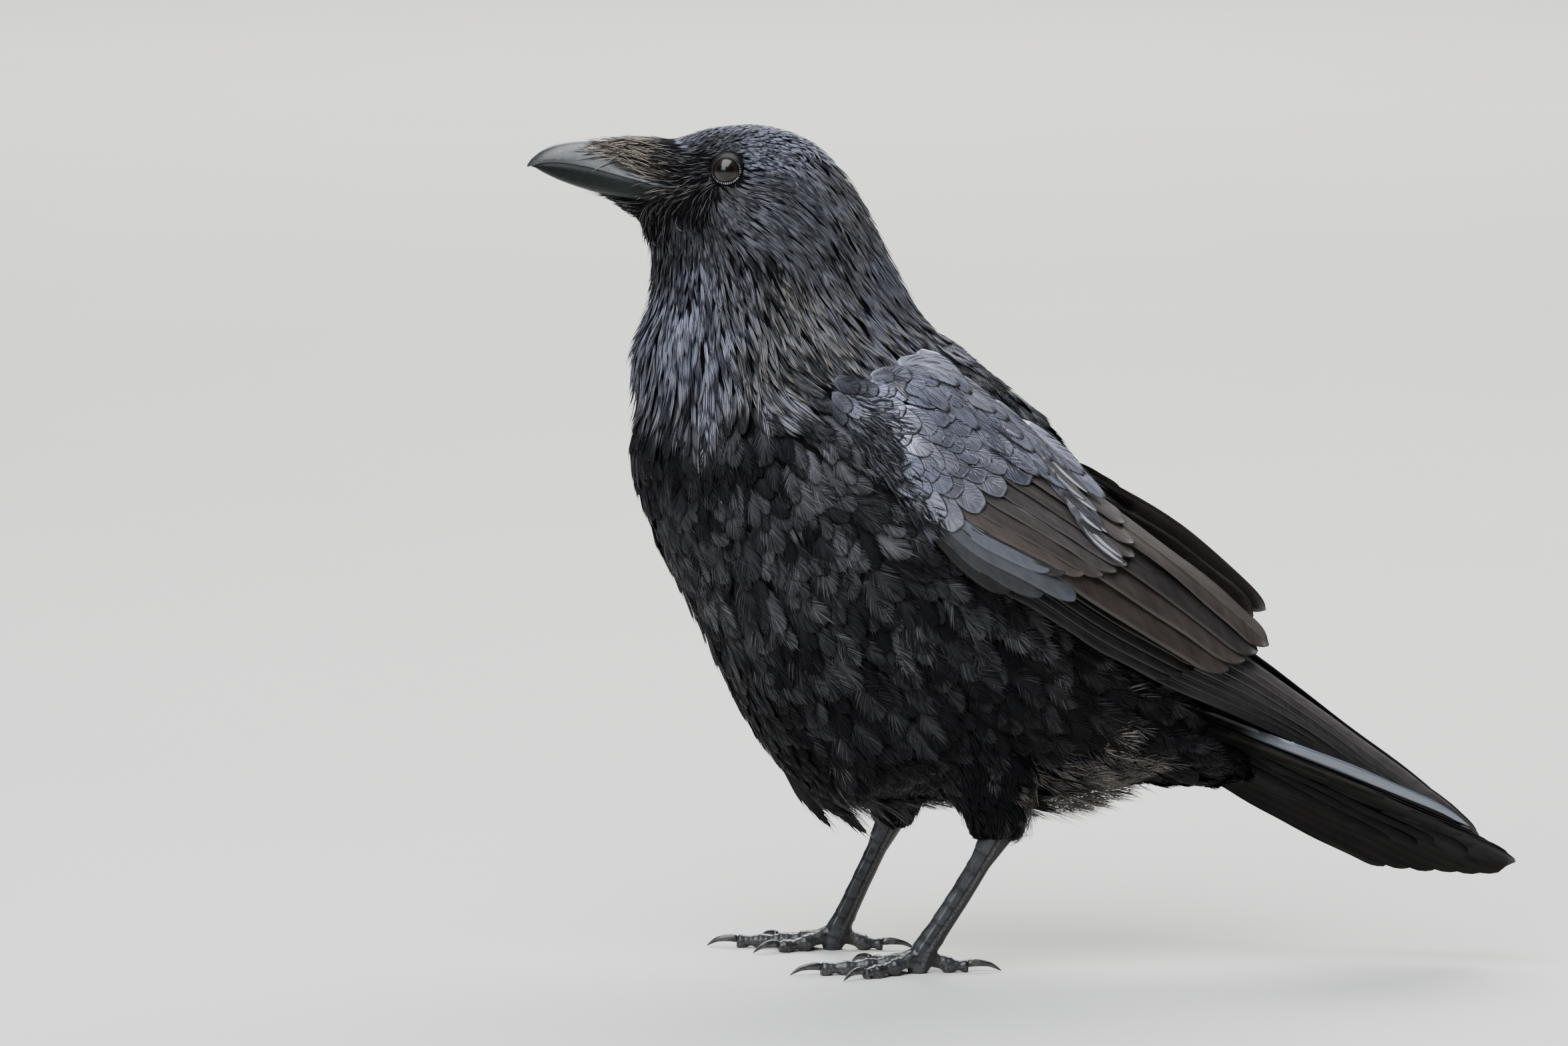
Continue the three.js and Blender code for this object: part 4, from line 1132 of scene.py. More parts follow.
def flight_finish(name, shine, strip=False):
    """Stiff brown-black vanes: fine barbs that slant out from the shaft, and a blue-grey sheen."""
    finish = Finish(name)
    gloss, wear, chance, along = finish.tones()
    barbs = finish.barbs()
    across = finish.parts_of(barbs)[1]
    fine = finish.node("ShaderNodeMapping", {}, {"Vector": barbs, "Scale": (1.9, 0.5, 40.0)})
    broad = finish.node("ShaderNodeMapping", {}, {"Vector": barbs, "Scale": (0.16, 1.1, 60.0)})
    strand = finish.noise(1.0, 3, fine, 0.6)
    band = finish.noise(1.0, 3, broad, 0.55)
    colour = finish.blend(band.between(0.1, 0.9), (0.0025, 0.0022, 0.0022), (0.008, 0.007, 0.0065))
    brown = (wear * (0.3 + 0.9 * chance) * (0.5 + 0.5 * band)).between(0.1, 1.0)
    colour = finish.blend(brown * shine, colour, (0.056, 0.040, 0.031))
    # pale outer edge of each vane: partly real wear, partly a painted highlight along the step where it lies
    # over the next feather
    edge = (0.0 - across).between(0.72, 1.0) * (0.4 + 0.6 * chance)
    colour = finish.blend(edge * 0.6 * shine, colour, (0.13, 0.12, 0.11))
    sheen = gloss * (0.5 + 0.8 * chance) * (0.35 + 0.65 * band)
    # painted sheen: on the tail only a strip of the outer vane, past its base, keeps the gloss
    if strip:
        sheen = sheen * (0.0 - across).between(-0.06, 0.04) * along.between(0.3, 0.5)
    colour = finish.blend(sheen, colour, (0.19, 0.21, 0.25))
    fibres = strand.between(0.45, 0.75) * (0.2 + 0.8 * chance) * 0.35 * shine
    colour = finish.blend(fibres, colour, (0.06, 0.053, 0.05))
    return finish.shade(
        Base_Color=colour, Roughness=0.34 + 0.16 * band + 0.1 * strand - 0.06 * gloss,
        Metallic=(sheen + 0.3 * edge * shine) * 0.6, Normal=finish.bump(strand, 0.12 * MM, 0.4),
        Specular_IOR_Level=0.18 * shine,
    )


flight_feather = flight_finish("flight_feather", 1.0)
for label, side in SIDES.items():
    for group, sheet, count, roots, tips, width, depth, tilt, blunt, wear, gloss, bright in FLIGHT:
        coat = Coat(group + "_vanes_" + label, flight_feather, "flight_feather")
        for i in range(count):
            share = i / (count - 1)
            root = np.array(roots[0]) * (1 - share) + np.array(roots[1]) * share
            size = 1 + luck.normal(0, 0.03)
            tone = ((gloss[0] + (gloss[1] - gloss[0]) * share) * (0.7 + 0.6 * luck.random()),
                    wear * (0.75 + 0.5 * luck.random()),
                    (bright[0] + (bright[1] - bright[0]) * share) * (0.5 + 0.7 * luck.random()))
            lay_blade(
                coat, on_sheet(sheet, side), root, np.array(tips[i]), np.array(width) * size,
                depth, tilt, tone, strip_of(i, count), blunt)
        piece = coat.make()
        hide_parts(group + "_" + label)

# ------------------------------------------------------------------ tail
# Twelve tail feathers, the middle pair on top and each outer one lying under the last. The tail
# is closed and rolled, so its left edge stands up and its dark underside shows.

TAIL_ROOT = np.array([60.0, 0, 107.0])
TAIL_LENGTH = 171.5
TAIL_SLOPE = math.radians(23.3)
TAIL_ROLL = math.radians(38)
TAIL_ARCH = 6.5
TAIL_HALF_WIDTH = 30
TAIL_DROPS_TO = 26           # how far out the arch goes on dropping
TAIL_SHORTER = [25, 29, 21, 13, 5, 0, 2, 8, 16, 25, 34, 43]    # tips, from left to right
tail_along = np.array([math.cos(TAIL_SLOPE), 0, -math.sin(TAIL_SLOPE)])
roll_up = np.cross(tail_along, (0, 1, 0))
tail_across = np.array([0, 1, 0]) * math.cos(TAIL_ROLL) - roll_up * math.sin(TAIL_ROLL)
tail_up = np.cross(tail_along, tail_across)


def on_tail(root, tip, share, aside, height, bend):
    """Places of a tail feather from root to tip (along, across), moved aside and up."""
    run = (tip - root) / np.linalg.norm(tip - root)
    along = root[0] + (tip[0] - root[0]) * share - run[1] * aside
    across = root[1] + (tip[1] - root[1]) * share + run[0] * aside + bend * np.sin(math.pi * share)
    droop = TAIL_ARCH * (np.minimum(np.abs(across), TAIL_DROPS_TO) / TAIL_HALF_WIDTH) ** 1.6
    return drawn(
        TAIL_ROOT + along[..., None] * tail_along + across[..., None] * tail_across
        + (height - droop)[..., None] * tail_up)


tail_feather = flight_finish("tail_feather", 0.35, strip=True)
coat = Coat("tail_vanes", tail_feather, "flight_feather")
middle = (len(TAIL_SHORTER) - 1) / 2
for i, shorter in enumerate(TAIL_SHORTER):
    place = (i - middle) / middle
    root = np.array([6.0, 9 * place])
    tip = np.array([TAIL_LENGTH - shorter, 23.5 * place + 1.5])
    outer = 16.0 if i == 0 else 5.2 + 4.5 * (1 - abs(place))
    inner = 11.5
    width = (outer, inner) if place < 0 else (inner, outer)
    # the outermost feather carries a strip of painted sheen; the rest stay dark
    gloss, bright = (1.5, 1.0) if i == 0 else (0.04, 0.12)
    tone = (gloss, 0.1 + 0.1 * luck.random(), bright * (0.5 + 0.5 * luck.random()))
    lay_blade(
        coat, on_tail, root, tip, width, 0.45 * abs(place) * middle, 0.9 * np.sign(place), tone,
        strip_of(i, len(TAIL_SHORTER)), (0.6, 0.8) if i == 0 else (0.93, 0.93), bend=1.5 * place)
tail = coat.make()
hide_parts("tail_feathers")

# ------------------------------------------------------------------ body plumage
# The body feathers are solid vanes and bundles of barbs that root under the outside of the bird
# and lie over one another like tiles, from the bill to the tail: bristles at the bill, velvet on
# the crown, silky ear coverts, pointed hackles on the neck and round fringed feathers behind.

PATH_STEPS = 5               # how many steps a feather's path is laid in
CLEAR_OF_EYE = 5.75          # how far feathers keep from the eye's axis, in millimetres
ROOTS_OFF_EYE = 5.9          # and their roots
ROOTS_OFF_BILL = 0.9 * MM    # how far roots keep from the bill
ROOTS_OFF_ARM = 1.2 * MM     # and from the front of the wing
UNDER_WING = 14 * MM         # no feather roots where a flight feather lies so close outside


def read_along(rows, share):
    """Rows laid along paths, read at shares of their length, past the end too."""
    steps = rows.shape[1] - 1
    first = np.clip((share * steps).astype(int), 0, steps - 1)
    part = (share * steps - first)[..., None]
    path = np.arange(len(rows)).reshape(-1, *[1] * (share.ndim - 1))
    return rows[path, first] * (1 - part) + rows[path, first + 1] * part


def ribbons(middle, up, half, high, section):
    """Ribbons along middle lines: ribbon, ring, corner, xyz."""
    ahead = unit(np.gradient(middle, axis=1))
    right = unit(np.cross(ahead, up))
    up = np.cross(right, ahead)
    wide = np.array([corner[0] for corner in section])
    rise = np.array([corner[1] for corner in section])
    return (middle[:, :, None] + right[:, :, None] * (half[..., None] * wide)[..., None]
            + up[:, :, None] * (high[..., None] * rise)[..., None])


COVERT_SECTION = [
    (-1, 0), (-0.94, 0.42), (-0.84, 0.62), (-0.45, 0.85), (-0.08, 1), (0, 1.3), (0.08, 1), (0.45, 0.85),
    (0.84, 0.62), (0.94, 0.42), (1, 0), (0.45, 0.4), (-0.45, 0.4),
]


class Bed:
    """Feathers laid in place: the path, the outward way, and the size and tone of each."""

    def __init__(self, path, up, length, half, tone, chart):
        self.path, self.up = path, up
        self.length, self.half = length, half
        self.tone, self.chart = tone, chart
        self.count = len(path)

    def barbs(self, coat, start, end, wide, high, rings, curve=1.0, bulge=0.0, camber=0.0, streak=0.5):
        """Bundles of barbs, from start to end: each (along, aside), by feather and barb."""
        turn = np.linspace(0, 1, rings)
        along = start[0][..., None] + (end[0] - start[0])[..., None] * turn
        aside = start[1][..., None] + (end[1] - start[1])[..., None] * turn ** curve
        aside = aside + bulge * end[1][..., None] * np.sin(math.pi * turn)
        spot = read_along(self.path, along)
        up = unit(read_along(self.up, along))
        ahead = unit(read_along(np.gradient(self.path, axis=1), along))
        right = np.cross(ahead, up)
        spread = aside * self.half[:, None, None]
        lifted = camber * (1 - np.clip(aside ** 2, 0, 1.4)) * self.half[:, None, None]
        middle = spot + right * spread[..., None] + up * lifted[..., None]
        profile = np.sin(math.pi * np.clip(turn * 0.86 + 0.07, 0, 1)) ** 0.7
        barbs = start[0].shape[1]
        flat = (-1, rings)
        tone = np.repeat(self.tone, barbs, axis=0)
        tone[:, 2] = np.clip(tone[:, 2] * (1 + luck.normal(0, streak, len(tone))), 0, 1.3)
        coat.add(
            ribbons(
                middle.reshape(*flat, 3), up.reshape(*flat, 3),
                (wide[..., None] * profile).reshape(flat), (high[..., None] * profile).reshape(flat),
                SHAFT_SECTION),
            along.reshape(flat), tone, np.repeat(self.chart, barbs, axis=0))

    def vanes(self, coat, stops, outline, camber=0.07, section=VANE_SECTION, streak=None, dark_rim=0.25):
        """One solid vane for each feather, cambered across, with the outline of a leaf."""
        along = np.tile(np.array(stops), (self.count, 1))
        half = self.half[:, None] * np.array([outline(stop) for stop in stops])
        up = unit(read_along(self.up, along))
        rows = ribbons(read_along(self.path, along), up, half, half * camber + 0.02 * MM, section)
        edge = np.array([corner[0] for corner in section])
        aside = half[..., None] * edge
        out = (along * self.length[:, None])[..., None] - BARB_SLANT * np.abs(aside)
        beside = ramp(np.abs(edge), 0.8, 0.94) * ramp(along, 0.3, 0.6)[..., None]
        rim = np.maximum(ramp(along, 0.89, 0.98)[..., None], beside) * dark_rim
        # streak: a pale streak of painted highlight along one side of the vane
        if streak is not None:
            pale = streak[:, None, None] * np.exp(-((edge - 0.5) / 0.25) ** 2)
            rim = rim - pale * ramp(along, 0.2, 0.5)[..., None]
        mark = np.stack([out / MM, rim, self.tone[:, 2:, None] + 0 * aside], axis=-1)
        coat.add(rows, along, self.tone, self.chart, mark=mark)


def chart_of(rows):
    """Where points lie on the unwrapped bird: round its long axis, and along it."""
    spots = undrawn(rows) - np.array([-130, 0, 330])
    axis = unit(np.array([0.68, -0.73]))
    far = spots[:, 0] * axis[0] + spots[:, 2] * axis[1]
    out = spots[:, 0] * -axis[1] + spots[:, 2] * axis[0]
    middle = np.interp(far, [0, 60, 140, 240, 330], [5, -5, -25, -20, 5])
    turn = np.arctan2(spots[:, 1], out - middle) / (2 * math.pi)
    return np.column_stack([0.5 + 0.96 * turn, 0.02 + 0.96 * np.clip(far / 340, 0, 1)])


def lie_at(rows, up, tracts):
    """Which way feathers lie at some places, flat on the outside."""
    way = (nearness(rows) * tracts) @ TRACT_LIES
    way[:, 1] += 0.15 * np.sign(rows[:, 1])
    way -= up * (way * up).sum(axis=1, keepdims=True)
    return unit(way)


def bed_at(roots, length, half, depth, lift, tone, tracts, stray, roll):
    """Lays feathers from their roots along the outside, each a little out of line."""
    here, up = outside.settle(roots)
    spots, ups = [here], [up]
    lean = luck.normal(0, stray, len(roots))[:, None]
    for _ in range(PATH_STEPS):
        way = lie_at(here, up, tracts)
        way = unit(way + np.cross(way, up) * lean)
        here, up = outside.settle(here + way * length[:, None] / PATH_STEPS)
        spots.append(here)
        ups.append(up)
    path, ups = np.stack(spots, axis=1), np.stack(ups, axis=1)
    share = np.linspace(0, 1, PATH_STEPS + 1)
    height = -depth[:, None] * (1 - share) ** 1.6 + lift[:, None] * share ** 2
    path = path + ups * height[..., None]
    right = np.cross(unit(np.gradient(path, axis=1)), ups)
    tilt = luck.normal(0, roll, len(roots))[:, None, None]
    clear = eye_distance(path[:, 1:]).min(axis=1) > CLEAR_OF_EYE
    up = unit(ups + right * tilt)
    return Bed(path[clear], up[clear], length[clear], half[clear], tone[clear], chart_of(roots[clear]))


def scattered(gap, limit):
    """Roots spread evenly over the outside, gap apart, where limit allows."""
    corners = outside.points[outside.triangles]
    middle = corners.mean(axis=1)
    area = np.linalg.norm(np.cross(corners[:, 1] - corners[:, 0], corners[:, 2] - corners[:, 0]), axis=1) / 2
    spacing = gap(middle)
    share = area / spacing ** 2
    tries = int(share.sum() * 7)
    picked = luck.choice(len(area), tries, p=share / share.sum())
    a, b = luck.random((2, tries))
    flip = a + b > 1
    a, b = np.where(flip, 1 - a, a), np.where(flip, 1 - b, b)
    corner = corners[picked]
    spots = (corner[:, 0] + a[:, None] * (corner[:, 1] - corner[:, 0])
             + b[:, None] * (corner[:, 2] - corner[:, 0]))
    spots = spots[limit(spots, outside.normals[outside.triangles[picked]].mean(axis=1))]
    reach = gap(spots)
    tree = KDTree(len(spots))
    for i, spot in enumerate(spots.tolist()):
        tree.insert(spot, i)
    tree.balance()
    free = np.ones(len(spots), bool)
    kept = []
    for i, spot in enumerate(spots.tolist()):
        if free[i]:
            kept.append(i)
            for _, near, _ in tree.find_range(spot, reach[i]):
                free[near] = False
    return spots[kept]


def tree_of(nodes):
    """The solids of some nodes, to measure and look for."""
    points, faces, base = [], [], 0
    for node in nodes:
        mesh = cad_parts[node].data
        mesh.calc_loop_triangles()
        points += [tuple(vertex.co) for vertex in mesh.vertices]
        faces += [[base + k for k in triangle.vertices] for triangle in mesh.loop_triangles]
        base = len(points)
    return BVHTree.FromPolygons(points, faces)


WING_NODES = [
    group + "_" + label for label in SIDES
    for group in ("alula", "greater_coverts", "tertials", "secondaries", "primaries")
]
bill_tree = tree_of(["bill_upper", "bill_lower"])
wing_tree = tree_of(WING_NODES)
arm_tree = tree_of(["wing_coverts_left", "wing_coverts_right", "alula_left", "alula_right"])


def eye_distance(rows):
    """How far points are from the axis of the nearer eye, in millimetres."""
    far = np.full(rows.shape[:-1], 99.0)
    for label, side in SIDES.items():
        off = rows - eye_centre(label)
        out, up, across = looking(side)
        height = off @ out
        away = np.hypot(off @ across, off @ up / 0.88) / MM
        far = np.minimum(far, np.where(height > 0, away, 99.0))
    return far


def on_bristle_bed(row):
    """True on the base of the upper bill, where the bristles cover it."""
    x, _, z = undrawn(np.array(row))
    return x > -124.5 and z > 303.5 + 0.45 * max(0, -110 - x)


def bare(rows, ups):
    """True where body feathers may root: not on the bill, an eye or a wing, or under a wing."""
    allowed = np.ones(len(rows), bool)
    for i, (row, up) in enumerate(zip(rows.tolist(), ups)):
        if bill_tree.find_nearest(row, ROOTS_OFF_BILL)[0] is not None and not on_bristle_bed(row):
            allowed[i] = False
        elif arm_tree.find_nearest(row, ROOTS_OFF_ARM)[0] is not None:
            allowed[i] = False
        elif wing_tree.ray_cast(row, up, UNDER_WING)[0] is not None:
            allowed[i] = False
    return allowed & (eye_distance(rows) > ROOTS_OFF_EYE)


roots = scattered(lambda rows: nearness(rows) @ TRACT_SIZES[:, SPACING] * MM, bare)
share = nearness(roots) ** 1.6
share /= share.sum(axis=1, keepdims=True)
pick = (share.cumsum(axis=1) > luck.random(len(roots))[:, None]).argmax(axis=1)
kind = np.array(KINDS)[pick]
sizes = nearness(roots) @ TRACT_SIZES

PAINTED_LIGHT_SPOTS = [                     # spots of painted shade and painted highlight on the plumage's sheen: place, reach, and the factor that dulls or brightens it
    ((-113, 0, 277), 13, 0.4), ((-118, 0, 206), 24, 0.35), ((-34, 0, 266), 22, 2.3),
    ((-55, 0, 252), 16, 1.4), ((-44, 0, 303), 16, 2.0), ((-104, 0, 298), 8, 0.35),
    ((-104, 0, 318), 7, 0.5), ((-45, 0, 214), 9, 2.3), ((-80, 0, 212), 10, 0.6),
]
BRIGHTNESS = {               # how bright the gloss of single feathers is, from and to, and its power
    "bristle": (0.0, 1.2, 1.8), "velvet": (0.45, 0.95, 1), "silk": (0.3, 0.95, 1), "hackle": (0.1, 1.4, 0.9),
    "contour": (0.08, 0.6, 1), "wisp": (0.3, 1.4, 1.2), "down": (0.0, 0.2, 1),
}


def bed_of(chosen, stray, roll=0.12, vary=0.12):
    """The bed of the chosen roots, each feather a little longer or shorter than its tract's."""
    size = sizes[chosen]
    vary = 1 + luck.normal(0, vary, len(size)).clip(-0.3, 0.3)
    name = kind[chosen[0]]
    # painted shade: the gloss of contour feathers and down is painted fainter lower on the body
    shade = np.clip(((roots[chosen, 2] / MM) - 30) / 150, 0.25, 1) if name in ("contour", "down") else 1
    low, high, power = BRIGHTNESS[name]
    bright = (low + (high - low) * luck.random(len(size)) ** power) * shade
    # painted light: each spot darkens or brightens the sheen of the feathers near it
    for place, reach, factor in PAINTED_LIGHT_SPOTS:
        apart = np.linalg.norm(undrawn(roots[chosen]) * (1, 0, 1) - place, axis=1)
        bright *= factor ** np.exp(-(apart / reach) ** 2)
    # painted shadow: hackles just below the edge of the ear coverts are darkened
    if name == "hackle":
        ear, neck = (
            share[chosen][:, np.array(KINDS) == other].sum(axis=1) for other in ("silk", "hackle"))
        bright *= 1 - 0.85 * ramp(4 * ear * neck, 0.3, 0.9)
    tone = np.column_stack([size[:, GLOSS], size[:, WEAR], np.minimum(bright, 1.6)])
    parted = name in ("bristle", "velvet")
    tracts = np.array([other == name or not parted for other in KINDS])
    return bed_at(
        roots[chosen], size[:, LENGTH] * vary * MM, size[:, HALF] * vary * MM,
        size[:, DEPTH] * MM, size[:, LIFT] * MM * (0.6 + 0.8 * luck.random(len(size))),
        tone, tracts, stray, roll)


def spread(bed, values, jitter=0.0):
    """The same values for each feather of a bed, one for each barb, and a little chance."""
    chance = luck.normal(0, jitter, (bed.count, len(values)))
    return np.tile(np.array(values, float), (bed.count, 1)) + chance


def lay_bristles(coat, bed):
    """Single stiff hairs, round and tapering."""
    none = spread(bed, [0])
    wide = np.tile(0.15 * MM, (bed.count, 1)) * (0.8 + 0.5 * luck.random((bed.count, 1)))
    bed.barbs(coat, (none, none), (spread(bed, [1], 0.1), spread(bed, [0], 1.6)), wide, wide, 6, curve=1.7)


def lay_bundles(coat, bed, count, tip, rings=5, fan=0.5, fine=0.34, stray=0.1, bulge=0.35):
    """Bundles of long barbs that draw together towards a pointed tip."""
    aside = np.linspace(-1, 1, count)
    start = (spread(bed, 0.12 * np.abs(aside), 0.03), spread(bed, aside * fan))
    end = (spread(bed, 1 - 0.16 * np.abs(aside), 0.07), spread(bed, aside * tip, stray))
    wide = bed.half[:, None] * fine * (0.75 + 0.5 * luck.random((bed.count, count)))
    bed.barbs(coat, start, end, wide, wide * 0.55, rings, bulge=bulge)


def leaf(share):
    """The outline of a round feather: its half width along it."""
    if share < 0.62:
        return math.sqrt(max(0, 1 - (1 - share / 0.62) ** 2)) * 0.94 + 0.06
    return math.sqrt(max(0, 1 - ((share - 0.62) / 0.385) ** 2))


def lay_round(coat, bed, pairs=9, loose=0.0, vane=True, fine=0.055, rings=4, reach=1.0):
    """Round feathers: a cambered vane, and barbs that run out over it to a fringed edge."""
    if vane:
        bed.vanes(coat, [0, 0.22, 0.45, 0.62, 0.76, 0.88, 0.95], lambda share: 0.86 * leaf(share / 0.95))
    step = (np.arange(pairs) + 0.5) / pairs
    from_shaft = np.concatenate([0.1 + 0.55 * step, 0.1 + 0.55 * step, [0.6]])
    out = 0.4 - 0.02 * step
    to_edge = np.concatenate([from_shaft[:pairs] + out, from_shaft[:pairs] + out, [1.07]])
    to_edge = to_edge * (0.5 + 0.5 * reach)
    width = np.array([leaf(min(0.985, share)) for share in to_edge[:pairs]])
    aside = np.concatenate([-width, width, [0.0]]) * (1.12 + loose) * reach
    start = (spread(bed, from_shaft, 0.015), spread(bed, aside * 0.12))
    end = (spread(bed, to_edge + loose * 0.15, 0.03 + 0.1 * loose), spread(bed, aside, 0.05 + 0.25 * loose))
    wide = bed.half[:, None] * fine * (0.7 + 0.6 * luck.random((bed.count, len(aside))))
    bed.barbs(coat, start, end, wide, wide * 0.6, rings, curve=0.85, camber=0.1, streak=0.4)


def bed_on_wing(side, roots, length, half, depth, lift, turn, tone, chance=0.08):
    """Coverts laid back along the folded wing from roots (along, across), turned up by turn."""
    count = len(roots)
    share = np.linspace(0, 1, PATH_STEPS + 1)
    scale, rise = np.linalg.norm(wing_sheet.axes(roots[:, 0], roots[:, 1])[:2], axis=2)
    lean = turn + luck.normal(0, chance, count)
    along = roots[:, :1] + (length / scale)[:, None] * share
    across = roots[:, 1:] + (length * lean / rise)[:, None] * share
    height = -depth[:, None] * (1 - share) ** 1.6 + lift[:, None] * share ** 2
    path = wing_sheet.at(side, along, across, height)
    up = wing_sheet.axes(along, across)[2] * (1, side, 1)
    right = np.cross(unit(np.gradient(path, axis=1)), up)
    tilt = luck.normal(0, 0.045, count)[:, None, None]
    return Bed(path, unit(up + right * tilt), length * MM, half * MM, tone, chart_of(path[:, 0]))


def brick_rows(start, end, gap, low, high, width):
    """Roots in staggered rows over the wing, along and across, that slant back towards the top."""
    roots = []
    for row, along in enumerate(np.arange(start, end, gap)):
        tall = np.linalg.norm(wing_sheet.face(np.array([along]), np.array([1.0]))
                              - wing_sheet.face(np.array([along]), np.array([-1.0])))
        step = 2 * width / tall
        for place in np.arange(low + step * (0.25 + 0.5 * (row % 2)), high, step):
            roots.append((along + luck.normal(0, 0.02), place + luck.normal(0, 0.08 * step)))
    return np.array(roots)


def covert_edge(across):
    """How far back the small coverts reach."""
    return 1.0 + 0.72 * (across + 0.8)


def pointed(share):
    """The outline of a long feather with a narrow tip."""
    return math.sin(math.pi * min(1, 0.06 + 0.94 * share ** 1.15)) ** 0.6 if share < 1 else 0.0


COVERT_STOPS = [0, 0.15, 0.35, 0.5, 0.62, 0.74, 0.84, 0.92, 0.97, 1.0]
WING_COVERTS = [
    # name, rows along from, to, by; across from, to, by; length, half, depth, lift, turn, gloss, wear
    ("median", 0.9, 2.9, 0.3, -0.8, 0.95, 8.6, 20, 5.9, 0.8, 0.25, 0.0, 1.9, 0.08),
    ("lesser", 0.1, 2.3, 0.22, -0.96, 1.0, 7.4, 17, 4.9, 0.9, 0.6, 0.0, 1.2, 0.1),
    ("marginal", -0.45, 0.35, 0.14, -0.96, 0.95, 4.8, 11, 3.2, 0.5, 0.7, 0.0, 0.9, 0.1),
    ("scapular", 0.2, 3.1, 0.27, 0.78, 1.2, 7.5, 31, 5.8, 0.5, 0.9, -0.2, 1.2, 0.3),
]
FRONT_TUFTS = 44             # bundles of barbs along the front edge of the folded wing
LOW_TUFTS = 22               # and along its low edge, over the breast
STREAKED = 7                 # narrow feathers with a painted pale streak of highlight, over the left tertials
for label, side in SIDES.items():
    coat = Coat("coat_wing_" + label, plumage, "plumage")
    for name, start, end, gap, low, high, width, length, half, depth, lift, turn, gloss, wear in WING_COVERTS:
        laid = brick_rows(start, end, gap, low, high, width)
        back = laid[:, 0] - covert_edge(laid[:, 1])
        if name == "median":
            laid = laid[(back > -0.4) & (back < 0.12)]
        elif name in ("lesser", "marginal"):
            laid = laid[back < -0.22]
        elif side > 0:
            laid = laid[(laid[:, 0] < 2.0) & (laid[:, 1] < 1.0)]
        count = len(laid)
        vary = 1 + luck.normal(0, 0.06, count)
        # painted light: the coverts' sheen is painted brightest at the shoulder and dimmer towards the wing's
        # front, and the far wing is painted in shade
        lit = 0.65 + 0.6 * np.exp(-((laid[:, 0] - 0.9) / 1.0) ** 2 - ((laid[:, 1] - 0.05) / 0.8) ** 2)
        lit *= 0.6 + 0.4 * ramp(laid[:, 0] + 0.5 * (1 - laid[:, 1]), -0.1, 0.9)
        lit *= 1.1 if side < 0 else 0.82
        tone = np.column_stack([
            gloss * lit * (0.7 + 0.6 * luck.random(count)), np.full(count, wear),
            lit * (0.5 + 0.75 * luck.random(count))])
        bed = bed_on_wing(
            side, laid, length * vary, half * vary, np.full(count, depth), np.full(count, lift),
            turn * np.clip(laid[:, 0] / 1.5, 0.5, 1.6), tone)
        # some scapulars get a painted streak of highlight
        streak = (luck.random(count) < 0.4) * (laid[:, 1] < 1.0) * 1.0 if name == "scapular" else None
        outline = pointed if name == "scapular" else leaf
        bed.vanes(coat, COVERT_STOPS, outline, 0.032, COVERT_SECTION, streak, 1.0)
        if name == "scapular":
            lay_round(coat, bed, pairs=6, vane=False, fine=0.035)
        else:
            lay_round(coat, bed, pairs=7, vane=False, fine=0.035, reach=0.86)
    edge = np.array([(-0.3 + 0.12 * (k % 5), -1.0 + 0.02 * k) for k in range(FRONT_TUFTS)])
    low = np.array([(0.1 + 0.055 * k, -1.12 + 0.05 * (k % 3)) for k in range(LOW_TUFTS)])
    for laid, turn, length in ((edge, 0.0, 19.0), (low, 0.3, 15.0)):
        laid = laid + luck.normal(0, 0.03, laid.shape)
        count = len(laid)
        vary = 1 + luck.normal(0, 0.12, count)
        tone = np.column_stack([np.full(count, 0.3), np.full(count, 0.2), 0.1 + 0.5 * luck.random(count)])
        bed = bed_on_wing(
            side, laid, length * vary, 4.2 * vary, np.full(count, 0.8), np.full(count, 1.6),
            turn, tone, 0.15)
        lay_bundles(coat, bed, 9, tip=0.7, fine=0.1, fan=0.4, stray=0.25)
    if side < 0:
        all_of = np.ones(STREAKED)
        laid = np.array([(2.9 + 0.09 * k, 0.98 - 0.09 * k) for k in range(STREAKED)])
        laid = laid + luck.normal(0, 0.03, laid.shape)
        tone = np.column_stack([0.2 * all_of, 0.4 * all_of, 0.3 + 0.4 * luck.random(STREAKED)])
        length = 20 + 5 * luck.random(STREAKED)
        bed = bed_on_wing(side, laid, length, 3.0 * all_of, -0.8 * all_of, 1.8 * all_of, -0.42, tone, 0.05)
        bed.vanes(coat, COVERT_STOPS, pointed, 0.05, COVERT_SECTION, 1.3 * all_of, 0.2)
    coat.make()

bristly = plumage_finish("bristles", 0.4, 0.9, worn=(0.56, 0.46, 0.365))
PIECES = [
    # name, kinds, where it lies in drawing millimetres: x, side and height
    ("bristles", "bristle", lambda x, y, z: z > 0),
    ("crown", "velvet", lambda x, y, z: z > 0),
    ("cheeks", "silk", lambda x, y, z: z > 0),
    ("neck_left", "hackle", lambda x, y, z: y < 0),
    ("neck_right", "hackle", lambda x, y, z: y >= 0),
    ("breast", "contour", lambda x, y, z: (x < -70) & (z > 120)),
    ("flank_left", "contour", lambda x, y, z: ((x >= -70) | (z <= 120)) & (y < -22)),
    ("flank_right", "contour", lambda x, y, z: ((x >= -70) | (z <= 120)) & (y >= 22)),
    ("back", "contour", lambda x, y, z: ((x >= -70) | (z <= 120)) & (np.abs(y) < 22)),
    ("vent", "wisp", lambda x, y, z: z > 0),
    ("thighs", "down", lambda x, y, z: z > 0),
]
